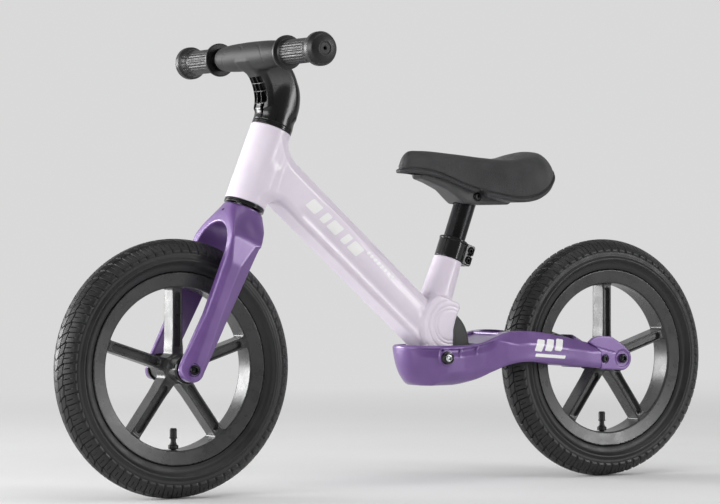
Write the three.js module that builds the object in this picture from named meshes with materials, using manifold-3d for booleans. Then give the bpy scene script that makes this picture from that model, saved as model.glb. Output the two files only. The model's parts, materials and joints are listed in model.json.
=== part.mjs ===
// A child's balance bike with a sprung rear arm, in millimetres, +Z up.
// The origin is on the floor midway between the two axles. The bike points along -X,
// and the rider's left is -Y.
import * as THREE from "three";
import { mergeVertices } from "three/addons/utils/BufferGeometryUtils.js";
import Module from "manifold-3d";

const wasm = await Module();
wasm.setup();

// Driving dimensions.
const GAP = 0.3; // air between pieces that touch
const WHEELBASE = 616;
const TYRE_R = 150;
const TYRE_HALF = 23.5; // widest half width of the tyre
const RIM_OPENING_R = 93.7; // inside of the rim's barrel
const HUB_R = 14.5;
const HUB_HALF = 31;
const VALVE_R = 3;
const FORK_INNER = 37.5; // half the space between the fork legs
const FORK_OUTER = 51;
const HEAD_TILT = THREE.MathUtils.degToRad(22.05);
const HEAD_LOW = [-213.9, 338.7]; // x, z of the steering axis at the lower head ring
const HEAD_LENGTH = 99.5; // between the middles of the two head rings
const HEAD_R = 24;
const HEAD_BORE_R = 18;
const RING_HALF = 2.25; // half the height of a head ring
const STEERER_R = 12.7;
const FRONT_AXLE = [-16.4, -210.2]; // x, z in the steering frame
const BAR_PLACE = [-55, 167.4]; // x, z in the steering frame
const BAR_R = 10.5;
const BAR_HALF = 149;
const GRIP_START = 78;
const GRIP_END = 165;
const SEAT_TILT = THREE.MathUtils.degToRad(20.2);
const SEAT_TOP = [72.9, 275]; // x, z of the seat tube's axis at the foot of its collar
const SEAT_TUBE_BORE_R = 13.9;
const SEAT_BORE_DEPTH = 102;
const NECK_TOP = 24; // of the split neck inside the seat collar
const COLLAR_R = 17.4;
const COLLAR_TOP = 26.3;
const POST_R = 13.5;
const POST_BOTTOM = -70; // along the seat tube's axis from SEAT_TOP
const POST_TOP = 93;
const PIVOT = [44, 156]; // x, z
const TUBE_HALF = 23; // half the width of the down tube
const BODY_HALF = 25; // half the width of the frame's lower body
const SHELL_INNER = 36; // inside half width of the rear arm's shell
const SHELL_FLOOR = 134;
const ARM_UNDERSIDE = 121;
const REAR_END_INNER = 38; // inner faces of the rear ends
const REAR_END_OUTER = 43.4;
const AXLE_R = 4;
const BOLT_R = 3;

// How finely round pieces are cut. The wheels' count divides by five and by four.
const WHEEL_STEPS = 30;
const ROUND_STEPS = 20;
const SMALL_STEPS = 12;
const SCREW_STEPS = 9;

const paint = (color, roughness, metalness = 0) =>
  new THREE.MeshStandardMaterial({ color, roughness, metalness });
const PEARL = paint(0xe4dae8, 0.35);
const PURPLE = paint(0x76568e, 0.35);
const BLACK_GLOSS = paint(0x2b2b2d, 0.25);
const BLACK_SATIN = paint(0x2e2e30, 0.5);
const RIM_GREY = paint(0x3c3c3e, 0.4);
const RUBBER = paint(0x343435, 0.85);
const LEATHER = paint(0x3a3a3b, 0.7);
const STEEL = paint(0xb9bbbe, 0.3, 1);
const BLACK_METAL = paint(0x333335, 0.45, 1);
const FOAM = paint(0x454646, 0.9);

// --- Joining and cutting ----------------------------------------------------

// A closed geometry as a manifold-3d solid, whichever way its faces are wound.
function solidOf(geometry) {
  const bare = geometry.clone();
  bare.deleteAttribute("normal");
  bare.deleteAttribute("uv");
  const merged = mergeVertices(bare, 1e-4);
  const from = merged.index.array;
  const corners = [];
  for (let i = 0; i < from.length; i += 3) {
    const [a, b, c] = [from[i], from[i + 1], from[i + 2]];
    if (a !== b && b !== c && c !== a) corners.push(a, b, c);
  }
  const vertProperties = merged.attributes.position.array;
  const make = (order) => {
    const triVerts = new Uint32Array(order);
    return new wasm.Manifold(new wasm.Mesh({ numProp: 3, vertProperties, triVerts }));
  };
  const made = make(corners);
  return made.volume() > 0 ? made : make(corners.reverse());
}

function geometryOf(body) {
  const mesh = body.getMesh();
  const geometry = new THREE.BufferGeometry();
  geometry.setAttribute("position", new THREE.BufferAttribute(mesh.vertProperties, 3));
  geometry.setIndex(new THREE.BufferAttribute(mesh.triVerts, 1));
  const faceted = geometry.toNonIndexed();
  faceted.computeVertexNormals();
  return faceted;
}

function combine(how, first, rest) {
  let body = solidOf(first);
  for (const other of rest) body = body[how](solidOf(other));
  return geometryOf(body);
}

const joined = (first, ...rest) => combine("add", first, rest);
const cut = (first, ...rest) => combine("subtract", first, rest);
const common = (first, ...rest) => combine("intersect", first, rest);

// --- Shapes -----------------------------------------------------------------

const polygon = (points) =>
  new THREE.Shape(points.map(([x, y]) => new THREE.Vector2(x, y)));

// An outline in X and Z made solid from -half to +half along Y. Its rims are bevelled
// by depth along Y and by inset from the outline.
function slab(shape, half, depth = 0, inset = 0) {
  const geometry = new THREE.ExtrudeGeometry(shape, {
    depth: 2 * (half - depth),
    curveSegments: 6,
    bevelEnabled: depth > 0,
    bevelThickness: depth,
    bevelSize: inset,
    bevelOffset: -inset,
    bevelSegments: 1,
  });
  return geometry.translate(0, 0, depth - half).rotateX(Math.PI / 2);
}

// An outline in Y and Z made solid between two places along X.
function slabAlongX(shape, from, to) {
  const geometry = new THREE.ExtrudeGeometry(shape, {
    depth: to - from,
    curveSegments: 6,
    bevelEnabled: false,
  });
  return geometry.rotateX(Math.PI / 2).rotateZ(Math.PI / 2).translate(from, 0, 0);
}

// An outline in X and Y made solid between two heights.
function slabUpright(shape, from, to) {
  const geometry = new THREE.ExtrudeGeometry(shape, {
    depth: to - from,
    curveSegments: 6,
    bevelEnabled: false,
  });
  return geometry.translate(0, 0, from);
}

// A profile of [radius, place] points turned about Y, from the axis back to the axis.
function turned(profile, steps = SMALL_STEPS) {
  const points = profile.map(([r, y]) => new THREE.Vector2(r, y));
  return new THREE.LatheGeometry(points, steps);
}

// A profile turned about Y that stays off the axis and closes on itself.
const ring = (profile, steps) => turned([...profile, profile[0]], steps);

const tube = (inner, outer, from, to, steps) =>
  ring([[inner, from], [outer, from], [outer, to], [inner, to]], steps);

const rod = (radius, from, to, steps) =>
  turned([[0, from], [radius, from], [radius, to], [0, to]], steps);

// Stands a shape made about Y upright, so that its places along Y become heights.
const upright = (geometry) => geometry.rotateX(Math.PI / 2);

// Moves a shape in the plane of the bike's side.
const at = ([x, z], geometry) => geometry.translate(x, 0, z);

function block([x0, x1], [y0, y1], [z0, z1]) {
  const geometry = new THREE.BoxGeometry(x1 - x0, y1 - y0, z1 - z0);
  return geometry.translate((x0 + x1) / 2, (y0 + y1) / 2, (z0 + z1) / 2);
}

// A button-headed screw with a socket. Its head's seat is at Y = 0, and it points along +Y.
function screw(headR, headHeight, shankR, length) {
  const [socketR, flatR] = [headR * 0.4, headR * 0.7];
  const head = [[0, -headHeight * 0.4], [socketR, -headHeight * 0.4], [socketR, -headHeight]];
  head.push([flatR, -headHeight], [headR, -headHeight * 0.45], [headR, 0]);
  return turned([...head, [shankR, 0], [shankR, length], [0, length]], SCREW_STEPS);
}

const mirrorY = (geometry) => geometry.rotateZ(Math.PI);

function piece(name, geometry, material) {
  const mesh = new THREE.Mesh(geometryOf(solidOf(geometry)), material);
  mesh.name = name;
  return mesh;
}

function place(x, y, z, meshes) {
  const made = new THREE.Group();
  made.position.set(x, y, z);
  made.add(...meshes);
  return made;
}

// --- Wheels -----------------------------------------------------------------

function tyre() {
  const outside = [[148, 10], [140, 19.5], [127, TYRE_HALF], [112, 18.3], [111.7, 15.9]];
  const bead = [102.7, 12.3];
  const inside = [[112.5, 12.2], [127, 19.2], [140, 14]];
  const half = [...outside, bead, ...inside];
  const mirrored = half.map(([r, y]) => [r, -y]).reverse();
  return ring([[TYRE_R, 0], ...half, [TYRE_R - 5, 0], ...mirrored], WHEEL_STEPS);
}

// The tube's hollow is open at the hole that its valve stem passes through.
function innerTube() {
  const skin = ([crownR, crown], [sideR, side], [footR, foot]) => {
    const half = [[crownR, crown], [sideR, side], [footR, foot]];
    const mirrored = half.map(([r, y]) => [r, -y]).reverse();
    return ring([...half, ...mirrored], WHEEL_STEPS);
  };
  const outside = skin([143, 5], [126.5, 18.4], [101, 6]);
  const inside = skin([141.3, 4.4], [126.5, 16.4], [102.8, 5]);
  const valveHole = upright(rod(VALVE_R + GAP, -108, -99));
  return cut(outside, inside, valveHole);
}

// Barrel, hub and five spokes are one moulding. Each spoke is an H in section, with a
// channel along both of its sides.
function rim() {
  const half = [[RIM_OPENING_R, 12], [110.5, 17.2], [111.3, 16], [102.5, 13.2], [97.5, 7.5]];
  const mirrored = half.map(([r, y]) => [r, -y]).reverse();
  const barrel = ring([...half, ...mirrored], WHEEL_STEPS);
  const hub = ring(
    [
      [HUB_R, -HUB_HALF],
      [HUB_R, HUB_HALF],
      [11.3, HUB_HALF],
      [11.3, 23.7],
      [8.6, 23.7],
      [8.6, -23.7],
      [11.3, -23.7],
      [11.3, -HUB_HALF],
    ],
    20,
  );
  const spokes = [];
  for (let i = 0; i < 5; i++) spokes.push(spoke().rotateY((i * 2 * Math.PI) / 5));
  const valveHole = upright(rod(VALVE_R + GAP, -108, -90));
  return cut(joined(barrel, hub, ...spokes), valveHole);
}

function spoke() {
  const [width, channel, web, side] = [6.35, 3.5, 4.5, 11.5];
  const section = polygon([
    [-width, -side],
    [-channel, -side],
    [-channel, -web],
    [channel, -web],
    [channel, -side],
    [width, -side],
    [width, side],
    [channel, side],
    [channel, web],
    [-channel, web],
    [-channel, side],
    [-width, side],
  ]);
  return slabUpright(section, HUB_R - 2.5, RIM_OPENING_R + 1.3);
}

function valveStem() {
  const profile = [[0, -106], [VALVE_R, -106], [VALVE_R, -93], [6, -93], [6, -88.5]];
  profile.push([VALVE_R, -87], [VALVE_R, -73], [0, -73]);
  return upright(turned(profile, 12));
}

function valveCap() {
  const profile = [[VALVE_R + GAP, -81], [4.5, -81], [4.5, -71], [3.4, -69], [0, -69]];
  profile.push([0, -72.6], [VALVE_R + GAP, -72.6]);
  return upright(ring(profile, 12));
}

// The pieces that turn with a wheel, about its own middle.
function wheel(prefix) {
  const bearing = () => tube(AXLE_R + GAP, 11, HUB_HALF - 7.1, HUB_HALF - 0.1, SMALL_STEPS);
  const cap = () => tube(AXLE_R + 1.2, 16.5, HUB_HALF + GAP, HUB_HALF + 5.6, 20);
  return [
    piece(`${prefix}_tyre`, tyre(), RUBBER),
    piece(`${prefix}_inner_tube`, innerTube(), RUBBER),
    piece(`${prefix}_rim`, rim(), RIM_GREY),
    piece(`${prefix}_valve_stem`, valveStem(), RUBBER),
    piece(`${prefix}_valve_cap`, valveCap(), RUBBER),
    piece(`${prefix}_bearing_left`, mirrorY(bearing()), STEEL),
    piece(`${prefix}_bearing_right`, bearing(), STEEL),
    piece(`${prefix}_hub_cap_left`, mirrorY(cap()), BLACK_GLOSS),
    piece(`${prefix}_hub_cap_right`, cap(), BLACK_GLOSS),
  ];
}

// The pieces that hold a wheel and stay still as it turns. outer is where its bolts seat.
function axleSet(prefix, inner, outer) {
  const reach = outer + GAP - 16;
  const bolt = () => screw(6.7, 3.6, BOLT_R, reach).translate(0, -outer - GAP, 0);
  return [
    piece(`${prefix}_axle`, tube(BOLT_R + GAP, AXLE_R, -inner + GAP, inner - GAP), STEEL),
    piece(`${prefix}_bearing_spacer`, tube(AXLE_R + GAP, 6, -23.6, 23.6, 12), STEEL),
    piece(`${prefix}_axle_bolt_left`, bolt(), STEEL),
    piece(`${prefix}_axle_bolt_right`, mirrorY(bolt()), STEEL),
  ];
}

// --- Steering: drawn about the steering axis, from the lower head ring's middle ----

// Side outline of the fork: front edge down, round the axle, then rear edge up.
function forkSide() {
  const top = -RING_HALF - GAP;
  const [axleX, axleZ] = FRONT_AXLE;
  const shape = new THREE.Shape();
  shape.moveTo(HEAD_R, top);
  shape.lineTo(-HEAD_R, top);
  shape.quadraticCurveTo(-26.5, -30, -24.6, -70);
  shape.lineTo(-24.8, -145);
  shape.lineTo(-30.4, -205);
  shape.absarc(axleX, axleZ, 14.5, Math.PI * 0.92, Math.PI * 2.03, false);
  shape.lineTo(3, -163);
  shape.lineTo(11.5, -84);
  shape.quadraticCurveTo(15.5, -45, 20, -30);
  shape.quadraticCurveTo(23.8, -16, HEAD_R, top);
  return shape;
}

// The fork from the front: as wide as the head tube at the top, then out to the legs.
function forkFront() {
  const top = -RING_HALF - GAP;
  const foot = FRONT_AXLE[1] - 20;
  const shape = new THREE.Shape();
  shape.moveTo(-HEAD_R, top);
  shape.lineTo(-27, -12);
  shape.quadraticCurveTo(-49, -48, -FORK_OUTER, -78);
  shape.lineTo(-FORK_OUTER, foot);
  shape.lineTo(FORK_OUTER, foot);
  shape.lineTo(FORK_OUTER, -78);
  shape.quadraticCurveTo(49, -48, 27, -12);
  shape.lineTo(HEAD_R, top);
  return shape;
}

// The space between the legs, with an arch over the wheel.
function forkSpace() {
  const archTop = -30;
  const foot = FRONT_AXLE[1] - 30;
  const shape = new THREE.Shape();
  shape.moveTo(-FORK_INNER, foot);
  shape.lineTo(FORK_INNER, foot);
  shape.absarc(0, archTop - FORK_INNER, FORK_INNER, 0, Math.PI, false);
  return shape;
}

// Round like the head tube at the top, and clear of the legs further down.
function crownRounding() {
  const top = -RING_HALF - GAP;
  const profile = [[0, -240], [80, -240], [80, -62], [46, -32], [31, -14], [HEAD_R, top], [0, top]];
  return upright(turned(profile, ROUND_STEPS));
}

function fork() {
  const legs = slab(forkSide(), FORK_OUTER, 4, 4);
  const front = slabAlongX(forkFront(), -60, 60);
  const space = slabAlongX(forkSpace(), -70, 70);
  const steererSocket = upright(rod(STEERER_R + GAP, -22, 2, ROUND_STEPS));
  const boltHole = upright(rod(4.3, -40, -20));
  const axleHole = at(FRONT_AXLE, rod(BOLT_R + GAP, -60, 60));
  const guardHole = rod(1.6, -8, 8, 8).rotateZ(Math.PI / 2).translate(-24, 0, -14);
  const body = common(legs, front, crownRounding());
  return cut(body, space, steererSocket, boltHole, axleHole, guardHole);
}

// The stem leaves the head as a round foot and bends forward to a barrel round the bar.
function stem() {
  const start = HEAD_LENGTH + RING_HALF + GAP;
  const foot = upright(
    turned([[0, start], [24.5, start], [22.5, 117], [19.5, 137], [15, 150], [0, 156]], ROUND_STEPS),
  );
  const side = new THREE.Shape();
  side.moveTo(19, 124);
  side.quadraticCurveTo(17, 148, 3, 164);
  side.quadraticCurveTo(-14, 182, -52, 184);
  side.lineTo(-64, 152);
  side.quadraticCurveTo(-32, 142, -25, 114);
  side.lineTo(0, 108);
  const neck = slab(side, 19, 7, 7);
  const barrelHalf = [[16.8, 20], [16, 48], [13, 70]];
  const barrelOtherHalf = barrelHalf.map(([r, y]) => [r, -y]).reverse();
  const barrel = turned([[0, -70], ...barrelOtherHalf, ...barrelHalf, [0, 70]], ROUND_STEPS);
  const barBore = rod(BAR_R + GAP, -80, 80, ROUND_STEPS);
  const steererBore = upright(rod(STEERER_R + GAP, start - 5, 151, ROUND_STEPS));
  const body = joined(foot, neck, at(BAR_PLACE, barrel));
  return cut(body, at(BAR_PLACE, barBore), steererBore, ...stemPockets());
}

// Open pockets under the stem's front, with thin ribs left between them. They are made
// level, and then turned to face down the slope.
function stemPockets() {
  const slope = THREE.MathUtils.degToRad(-136);
  const pockets = [];
  for (const across of [[-14, -5.5], [-4.3, 4.3], [5.5, 14]])
    for (const along of [[0, 9], [10.5, 19.5]])
      pockets.push(block(along, across, [-9, 8]).rotateY(slope).translate(-29, 0, 127));
  return pockets;
}

function steerer() {
  const foot = -22 + GAP;
  const profile = [[4.3, foot], [STEERER_R, foot], [STEERER_R, 150], [10.9, 150]];
  profile.push([10.9, -10], [4.3, -10]);
  return upright(ring(profile, ROUND_STEPS));
}

function headBearing(middle) {
  return upright(tube(STEERER_R + GAP, HEAD_BORE_R - GAP, middle - 4, middle + 4, ROUND_STEPS));
}

const headRing = (middle) =>
  upright(tube(STEERER_R + GAP, HEAD_R + 0.5, middle - RING_HALF, middle + RING_HALF, ROUND_STEPS));

// A grip on the left side: flange, hollow body on the bar, and a mushroom end.
function grip() {
  return ring(
    [
      [BAR_R + GAP, -GRIP_START],
      [20, -GRIP_START],
      [20, -GRIP_START - 4],
      [14.5, -GRIP_START - 6.5],
      [14.5, -142],
      [17.5, -145],
      [19.5, -152.5],
      [17, -160],
      [9, -GRIP_END + 0.8],
      [2, -GRIP_END],
      [2, -BAR_HALF - 0.5],
      [BAR_R + GAP, -BAR_HALF - 0.5],
    ],
    20,
  );
}

function steeringParts() {
  const bar = tube(BAR_R - 1.8, BAR_R, -BAR_HALF, BAR_HALF, 16);
  const boltSeat = -30 - GAP;
  const steererBolt = upright(screw(7, 5, 4, 24)).translate(0, 0, boltSeat - 2);
  return [
    piece("fork", fork(), PURPLE),
    piece("steerer", steerer(), STEEL),
    piece("steerer_bolt", steererBolt, STEEL),
    piece("head_ring_upper", headRing(HEAD_LENGTH), BLACK_GLOSS),
    piece("stem", stem(), BLACK_SATIN),
    piece("handlebar", at(BAR_PLACE, bar), BLACK_GLOSS),
    piece("grip_left", at(BAR_PLACE, grip()), RUBBER),
    piece("grip_right", at(BAR_PLACE, mirrorY(grip())), RUBBER),
  ];
}

// --- Frame ------------------------------------------------------------------

// Turns a shape from the steering axis's frame, or the seat tube's, into the bike's frame.
const alongHead = (geometry) => at(HEAD_LOW, geometry.rotateY(HEAD_TILT));
const alongSeat = (geometry) => at(SEAT_TOP, geometry.rotateY(SEAT_TILT));

function downTube() {
  return slab(
    polygon([
      [-178, 418],
      [-163, 408],
      [-154, 394],
      [-143, 383],
      [10, 249],
      [34, 226],
      [30, 178],
      [14, 178],
      [2, 189],
      [-141, 312],
      [-176, 342.5],
      [-205, 352],
    ]),
    TUBE_HALF,
    8,
    12,
  );
}

// The lower body stands in the rear arm's shell. Its foot is round about the pivot.
function lowerBody() {
  const shape = new THREE.Shape();
  const [pivotX, pivotZ] = PIVOT;
  shape.moveTo(17, 176);
  shape.lineTo(26, 222);
  shape.lineTo(42, 236);
  shape.lineTo(72.5, 222.5);
  shape.lineTo(75.5, 216);
  shape.lineTo(68.5, 201);
  shape.lineTo(65.2, 187);
  shape.lineTo(65.2, 171);
  shape.lineTo(61, pivotZ);
  shape.absarc(pivotX, pivotZ, 17, 0, -Math.PI, true);
  return slab(shape, BODY_HALF, 4, 4);
}

function seatTube() {
  const profile = [[0, -62], [21.5, -62], [19, -30], [17.8, 0], [15, 0]];
  profile.push([15, NECK_TOP], [0, NECK_TOP]);
  return alongSeat(upright(turned(profile, ROUND_STEPS)));
}

function mainFrame() {
  const headEnd = HEAD_LENGTH - RING_HALF - GAP;
  const head = alongHead(upright(rod(HEAD_R, RING_HALF + GAP, headEnd, ROUND_STEPS)));
  const headBore = alongHead(upright(rod(HEAD_BORE_R, -40, HEAD_LENGTH + 30, ROUND_STEPS)));
  const trimTop = alongHead(block([-60, 60], [-60, 60], [headEnd, headEnd + 40]));
  const trimFoot = alongHead(block([-60, 30], [-60, 60], [-30, RING_HALF + GAP]));
  const postBore = upright(rod(SEAT_TUBE_BORE_R, -SEAT_BORE_DEPTH, NECK_TOP + 5, ROUND_STEPS));
  const neckSlit = block([10, 20], [-1, 1], [0, NECK_TOP + 5]);
  const pivotBore = at(PIVOT, rod(8, -40, 40, ROUND_STEPS));
  return cut(
    joined(head, downTube(), lowerBody(), seatTube()),
    headBore,
    trimTop,
    trimFoot,
    alongSeat(postBore),
    alongSeat(neckSlit),
    pivotBore,
  );
}

const CLAMP_SCREW_X = 23.3;
const CLAMP_SCREW_HEIGHTS = [19.3, 7.3];
const CLAMP_SCREW_R = 2.4;

// The collar closes on the split neck with two screws through its ears.
function seatClamp() {
  const collar = upright(
    ring(
      [
        [15 + GAP, GAP],
        [COLLAR_R, GAP],
        [COLLAR_R, COLLAR_TOP],
        [POST_R + 0.5, COLLAR_TOP],
        [POST_R + 0.5, NECK_TOP + GAP],
        [15 + GAP, NECK_TOP + GAP],
      ],
      ROUND_STEPS,
    ),
  );
  const ears = block([COLLAR_R - 1.5, 28.5], [-9, 9], [GAP, COLLAR_TOP]);
  const slit = block([10, 30], [-1, 1], [-1, COLLAR_TOP + 1]);
  const holes = [];
  for (const height of CLAMP_SCREW_HEIGHTS) {
    holes.push(at([CLAMP_SCREW_X, height], rod(CLAMP_SCREW_R + 0.4, -12, 12)));
    holes.push(at([CLAMP_SCREW_X, height], rod(4.6, -12, -5)));
  }
  return cut(joined(collar, ears), slit, ...holes);
}

function clampScrew(height) {
  const made = screw(4.2, 4, CLAMP_SCREW_R, 13).translate(0, -5 + GAP - 0.6, 0);
  return at([CLAMP_SCREW_X, height], made);
}

function seatClampParts() {
  const parts = [
    piece("seat_clamp", seatClamp(), BLACK_GLOSS),
    piece("seat_clamp_screw_upper", clampScrew(CLAMP_SCREW_HEIGHTS[0]), BLACK_METAL),
    piece("seat_clamp_screw_lower", clampScrew(CLAMP_SCREW_HEIGHTS[1]), BLACK_METAL),
  ];
  const made = place(SEAT_TOP[0], 0, SEAT_TOP[1], parts);
  made.rotation.y = SEAT_TILT;
  return made;
}

// The rubber block that the rear arm squeezes against the frame.
function damperBlock() {
  const shape = new THREE.Shape();
  shape.moveTo(72.5, 208);
  shape.quadraticCurveTo(88, 196, 90.4, 172);
  shape.lineTo(90.4, SHELL_FLOOR + GAP);
  shape.lineTo(70, SHELL_FLOOR + GAP);
  shape.lineTo(64, 150);
  shape.lineTo(65.6, 171);
  shape.lineTo(65.6, 187);
  shape.lineTo(69, 201);
  return slab(shape, 21.5, 1.5, 1.5);
}

// A flanged bush on the left of the frame's foot, out to the rear arm's wall.
function pivotBush() {
  const [bore, body, flange] = [AXLE_R + GAP, 8 - GAP, 9.5];
  const [inEnd, side, outEnd] = [-10, -BODY_HALF - GAP, -SHELL_INNER + 1.3];
  const wall = [[bore, inEnd], [bore, outEnd], [flange, outEnd]];
  return ring([...wall, [flange, side], [body, side], [body, inEnd]]);
}

// --- Rear arm -----------------------------------------------------------------

const BOSS_FACE = 42; // outer faces of the bosses round the pivot
const ARM_HALF = 52;
const REAR_AXLE = [WHEELBASE / 2, TYRE_R];
const END_SCREW = [281, 150]; // x, z of the screw through each rear end
const END_SCREW_R = 2.5;

// Where the outside of a stay ends, leaning back with height.
const stayEnd = (z) => 265 + 0.1 * (z - 120);

function armSide() {
  const shape = new THREE.Shape();
  shape.moveTo(0, 171);
  shape.lineTo(75, 171);
  shape.quadraticCurveTo(94, 172, 113, 179.5);
  shape.quadraticCurveTo(150, 190, 189, 184);
  shape.lineTo(252, 172);
  shape.lineTo(290, 164);
  shape.lineTo(290, 137);
  shape.lineTo(225, 142);
  shape.lineTo(189, 146);
  shape.quadraticCurveTo(148, 152, 122, 142);
  shape.quadraticCurveTo(95, 130, 62, ARM_UNDERSIDE);
  shape.lineTo(24, ARM_UNDERSIDE);
  shape.quadraticCurveTo(6, 130, 0, 171);
  return shape;
}

// Half width of the arm along its length: a round nose, then the stays.
function armPlan() {
  const stay = [[70, 41.5], [100, 44], [130, 48], [160, 51], [190, 51.5], [220, 49.5], [252, 46]];
  const half = [...stay, [300, 44]];
  const noseR = 40;
  const shape = new THREE.Shape();
  shape.absarc(noseR, 0, noseR, Math.PI / 2, Math.PI * 1.5, false);
  for (const [x, y] of half) shape.lineTo(x, -y);
  for (const [x, y] of half.toReversed()) shape.lineTo(x, y);
  return shape;
}

// The hollow that the frame's foot and the rubber block stand in. Its front leans with the nose.
function armHollow() {
  const shape = new THREE.Shape();
  shape.absarc(41, 0, SHELL_INNER, Math.PI / 2, Math.PI * 1.5, false);
  shape.lineTo(91, -SHELL_INNER - 1);
  shape.lineTo(91, SHELL_INNER + 1);
  const front = [[19, SHELL_FLOOR], [5, 160], [5, 201]];
  const side = polygon([...front, [92, 201], [92, SHELL_FLOOR]]);
  return common(slabUpright(shape, SHELL_FLOOR, 200), slab(side, ARM_HALF));
}

// The space for the rear wheel, open to the rear.
function wheelSpace() {
  const half = [[134, 22], [142, 29], [165, 33], [310, 33]];
  const mirrored = half.map(([x, y]) => [x, -y]).reverse();
  return slabUpright(polygon([...half, ...mirrored]), 80, 220);
}

// The arm from the front: the shell's hull rounds in to a flat underside.
function armFront() {
  const half = [[ARM_HALF, 150], [44, 137], [36, 127], [27, ARM_UNDERSIDE]];
  const mirrored = half.map(([y, z]) => [-y, z]).reverse();
  return polygon([[ARM_HALF, 220], ...half, ...mirrored, [-ARM_HALF, 220]]);
}

function rearArm() {
  const hull = slabAlongX(armFront(), -10, 300);
  const body = common(slab(armSide(), ARM_HALF, 4, 5), slabUpright(armPlan(), 100, 220), hull);
  const bosses = at(PIVOT, rod(9.5, -BOSS_FACE, BOSS_FACE, ROUND_STEPS));
  const steps = [-1, 1].map((side) => endStep(side));
  const pivotBore = at(PIVOT, rod(AXLE_R + GAP, -60, 60));
  const screwBore = at(END_SCREW, rod(END_SCREW_R + GAP, -60, 60));
  return cut(joined(body, bosses), armHollow(), wheelSpace(), ...steps, pivotBore, screwBore);
}

// Clears the outside of one stay's end, where the rear end plate lies on it.
function endStep(side) {
  const shape = polygon([[stayEnd(200), 200], [stayEnd(120), 120], [320, 120], [320, 200]]);
  const inner = REAR_END_INNER - GAP;
  const geometry = slab(shape, 10);
  return geometry.translate(0, side * (inner + 10), 0);
}

// The plate that carries the rear axle, screwed to the outside of a stay's end.
function rearEnd() {
  const shape = new THREE.Shape();
  const [axleX, axleZ] = REAR_AXLE;
  shape.moveTo(stayEnd(137.5) + GAP, 137.5);
  shape.lineTo(stayEnd(171.5) + GAP, 171.5);
  shape.quadraticCurveTo(278, 180.5, 300, 174);
  shape.quadraticCurveTo(axleX + 14, 166, axleX + 14, axleZ);
  shape.absarc(axleX - 1, axleZ, 15, 0, -Math.PI * 0.45, true);
  const thick = (REAR_END_OUTER - REAR_END_INNER) / 2;
  const plate = slab(shape, thick, 1.2, 1.2).translate(0, REAR_END_INNER + thick, 0);
  const axleHole = at(REAR_AXLE, rod(BOLT_R + GAP, 30, 50));
  const screwHole = at(END_SCREW, rod(END_SCREW_R + GAP, 30, 50));
  return cut(plate, axleHole, screwHole);
}

function endScrew() {
  const made = screw(5, 2.6, END_SCREW_R, 9.5).translate(0, -REAR_END_OUTER - GAP, 0);
  return at(END_SCREW, made);
}

// The same left-hand shape for the right side of the bike.
const onRight = (geometry) => geometry.scale(1, -1, 1);

function rearArmParts() {
  const pivotScrew = screw(6.7, 4, AXLE_R, 2 * BOSS_FACE + 7);
  const headSeat = -BOSS_FACE - 1.6 - 2 * GAP;
  const nut = tube(AXLE_R + 1, 7, BOSS_FACE + GAP, BOSS_FACE + 6, 6);
  const washer = tube(AXLE_R + GAP, 8, headSeat + GAP, -BOSS_FACE - GAP);
  return [
    piece("rear_arm", rearArm(), PURPLE),
    piece("rear_end_left", onRight(rearEnd()), PURPLE),
    piece("rear_end_right", rearEnd(), PURPLE),
    piece("rear_end_screw_left", endScrew(), STEEL),
    piece("rear_end_screw_right", onRight(endScrew()), STEEL),
    piece("pivot_washer", at(PIVOT, washer), BLACK_GLOSS),
    piece("pivot_bolt", at(PIVOT, pivotScrew.translate(0, headSeat, 0)), STEEL),
    piece("pivot_nut", at(PIVOT, nut), STEEL),
  ];
}

// --- Seat: drawn about the seat tube's axis or in the bike's frame ------------------

const SADDLE_BOLT_HEIGHT = 82;
const BASE_HALF = 22;

function seatPost() {
  const wall = tube(POST_R - 1.8, POST_R, POST_BOTTOM, POST_TOP, ROUND_STEPS);
  const boltHole = at([0, SADDLE_BOLT_HEIGHT], rod(BOLT_R + GAP, -20, 20, 10));
  return alongSeat(cut(upright(wall), boltHole));
}

// The moulded base under the saddle, grown outwards by a margin.
function saddleBaseBlock(margin) {
  const shape = polygon([
    [32 - margin, 371],
    [52, 363 - margin],
    [68, 354 - margin],
    [76, 344 - margin],
    [100, 342.2 - margin],
    [148 + margin, 342.4 - margin],
    [162 + margin, 352],
    [162 + margin, 368 + margin],
    [60, 376 + margin],
    [32 - margin, 377 + margin],
  ]);
  return slab(shape, BASE_HALF + margin, 3, 3);
}

function saddleBase() {
  const socket = upright(rod(POST_R + GAP, 50, POST_TOP + GAP, ROUND_STEPS));
  const boltHole = at([0, SADDLE_BOLT_HEIGHT], rod(BOLT_R + GAP, -30, 30, 10));
  return cut(saddleBaseBlock(0), alongSeat(socket), alongSeat(boltHole));
}

function saddleBolt() {
  const made = screw(5, 2.6, BOLT_R, 2 * BASE_HALF - 2).translate(0, -BASE_HALF - GAP, 0);
  return alongSeat(at([0, SADDLE_BOLT_HEIGHT], made));
}

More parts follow.
